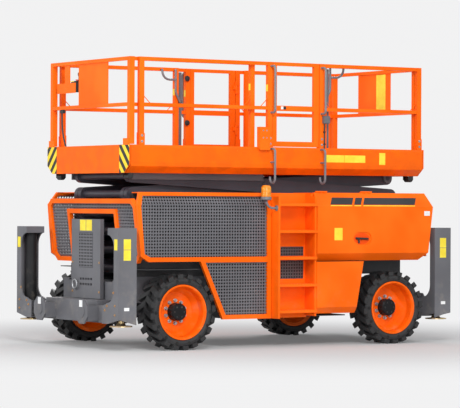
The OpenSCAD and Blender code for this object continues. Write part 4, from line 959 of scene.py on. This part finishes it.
braces = [brace(x, y_side * 0.897, way_x) for y_side in (1, -1)
          for x, way_x in ((0.158, 1), (-0.612, -1), (1.791, -1), (-1.951, 1))]
tubes("rail_braces", braces, "platform", orange_paint, 0.005, 0.002, 8)
for body, x, way_x in (("front_extension", 0.352, 1), ("rear_extension", -0.693, -1)):
    rods = [brace(x, y_side * 0.838, way_x) for y_side in (1, -1)]
    tubes(body + "_braces", rods, body, orange_paint, 0.005, 0.002, 8)
post_plates = sides_of([((0.159, 0.878, 2.897), (0.159 + PLATE_T, 0.916, 2.975))])
blocks("post_plates", post_plates, "platform", yellow_plate, PLATE_EDGE)
deck_plates = sides_of([((0.353, 0.812, 2.906), (0.353 + PLATE_T, 0.850, 2.981))])
blocks("deck_post_plates", deck_plates, "front_extension", yellow_plate, PLATE_EDGE)
LATCH = ((-0.088, 0.917, 2.696), (-0.050, 0.924, 2.730))
LATCH_FACE = ((-0.050, 0.917, 2.696), (-0.018, 0.924, 2.730))
for name, y_side in (("left", 1), ("right", -1)):
    blocks("gate_latch_" + name, [flipped(*LATCH, 1, y_side)], "gate_" + name, black_paint, 0.002)
    blocks("gate_latch_face_" + name, [flipped(*LATCH_FACE, 1, y_side)], "gate_" + name,
           white_plate, 0.002)

# Rail boxes. An orange box with a sloped floor is riveted to the left side ahead of the gate, and a
# grey socket with its cable in a clip sits on the post behind it.
BOX_OUT = 0.985
BOX_RIM = [(0.945, 2.263), (BOX_OUT, 2.225), (BOX_OUT, 2.490), (0.9225, 2.490), (0.9225, 2.263)]
box_shape = bmesh.new()
prism(box_shape, *[[(x, y, z) for y, z in BOX_RIM] for x in (0.166, 0.310)])
bmesh.ops.bevel(box_shape, geom=box_shape.edges[:], offset=0.003, segments=2, affect="EDGES")
mesh_object("rail_box", box_shape, "platform", orange_paint)
box_rivets = [((x, BOX_OUT, z), (0, 1, 0)) for x in (0.215, 0.262) for z in (2.366, 2.448)]
bolts("rail_box_rivets", box_rivets, "platform", galvanised, 0.006, 0.004, 10)
blocks("socket_box", [((-0.675, 0.922, 2.545), (-0.585, 0.962, 2.634))], "platform", grey_paint,
       0.006)
tubes("socket_lead", [[(-0.612, 0.936, 2.546), (-0.612, 0.936, 2.262)]], "platform", cable_rubber,
      0.008, 0.02, 12)
blocks("socket_clips", [((-0.624, 0.920, z), (-0.600, 0.947, z + 0.016)) for z in (2.300, 2.440)],
       "platform", black_paint, 0.002)
blocks("rear_plates", [((-1.985, 0.047, 2.740), (-1.985 + PLATE_T, 0.236, 3.185))],
       "rear_extension", yellow_plate, PLATE_EDGE)

# Control box. A small black console with a blank yellow field, a joystick and a red stop knob hangs
# on its plate at the front rail; its cable goes down to the deck.
CONSOLE_TOP = 3.012
STOP_KNOB = [(0.0, CONSOLE_TOP), (0.010, CONSOLE_TOP), (0.010, 3.020), (0.018, 3.023), (0.018, 3.029),
             (0.0, 3.032)]
STICK = [(0.0, CONSOLE_TOP), (0.022, CONSOLE_TOP), (0.012, 3.028), (0.007, 3.032), (0.007, 3.070),
         (0.014, 3.080), (0.014, 3.105), (0.008, 3.114), (0.0, 3.116)]
console_plastic = plastic("console_plastic", (0.014, 0.014, 0.015, 1.0), (0.032, 0.032, 0.034, 1.0),
                          0.48, 40.0, 500.0, 0.2)
console = blocks("console", [((1.802, -0.498, 2.887), (1.9445, -0.382, 3.000)),
                             ((1.815, -0.485, 2.998), (1.930, -0.395, 3.013)),
                             ((1.933, -0.699, 2.647), (1.967, -0.611, 2.688))],
                 "front_extension", console_plastic, 0.008)
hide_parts("control_box")
red = Finish("stop_red")
place = red.place()
cloud = red.noise(place, 60.0, 3.0)
stop_red = red.close(red.blend(cloud, (0.55, 0.010, 0.008, 1.0), (0.72, 0.020, 0.012, 1.0)),
                     0.3 + cloud * 0.1, normal=red.bump(cloud, 0.05, 0.0004))
turned("stop_knob", STOP_KNOB, (1.900, -0.410, 0), (0, 0, 1), 20, "front_extension", stop_red)
turned("joystick", STICK, (1.850, -0.455, 0), (0, 0, 1), 20, "front_extension", console_plastic)
blocks("console_plate", [((1.9446, -0.49, 3.0035), (1.9448, -0.40, 3.011))], "front_extension",
       yellow_plate, 0.0001)
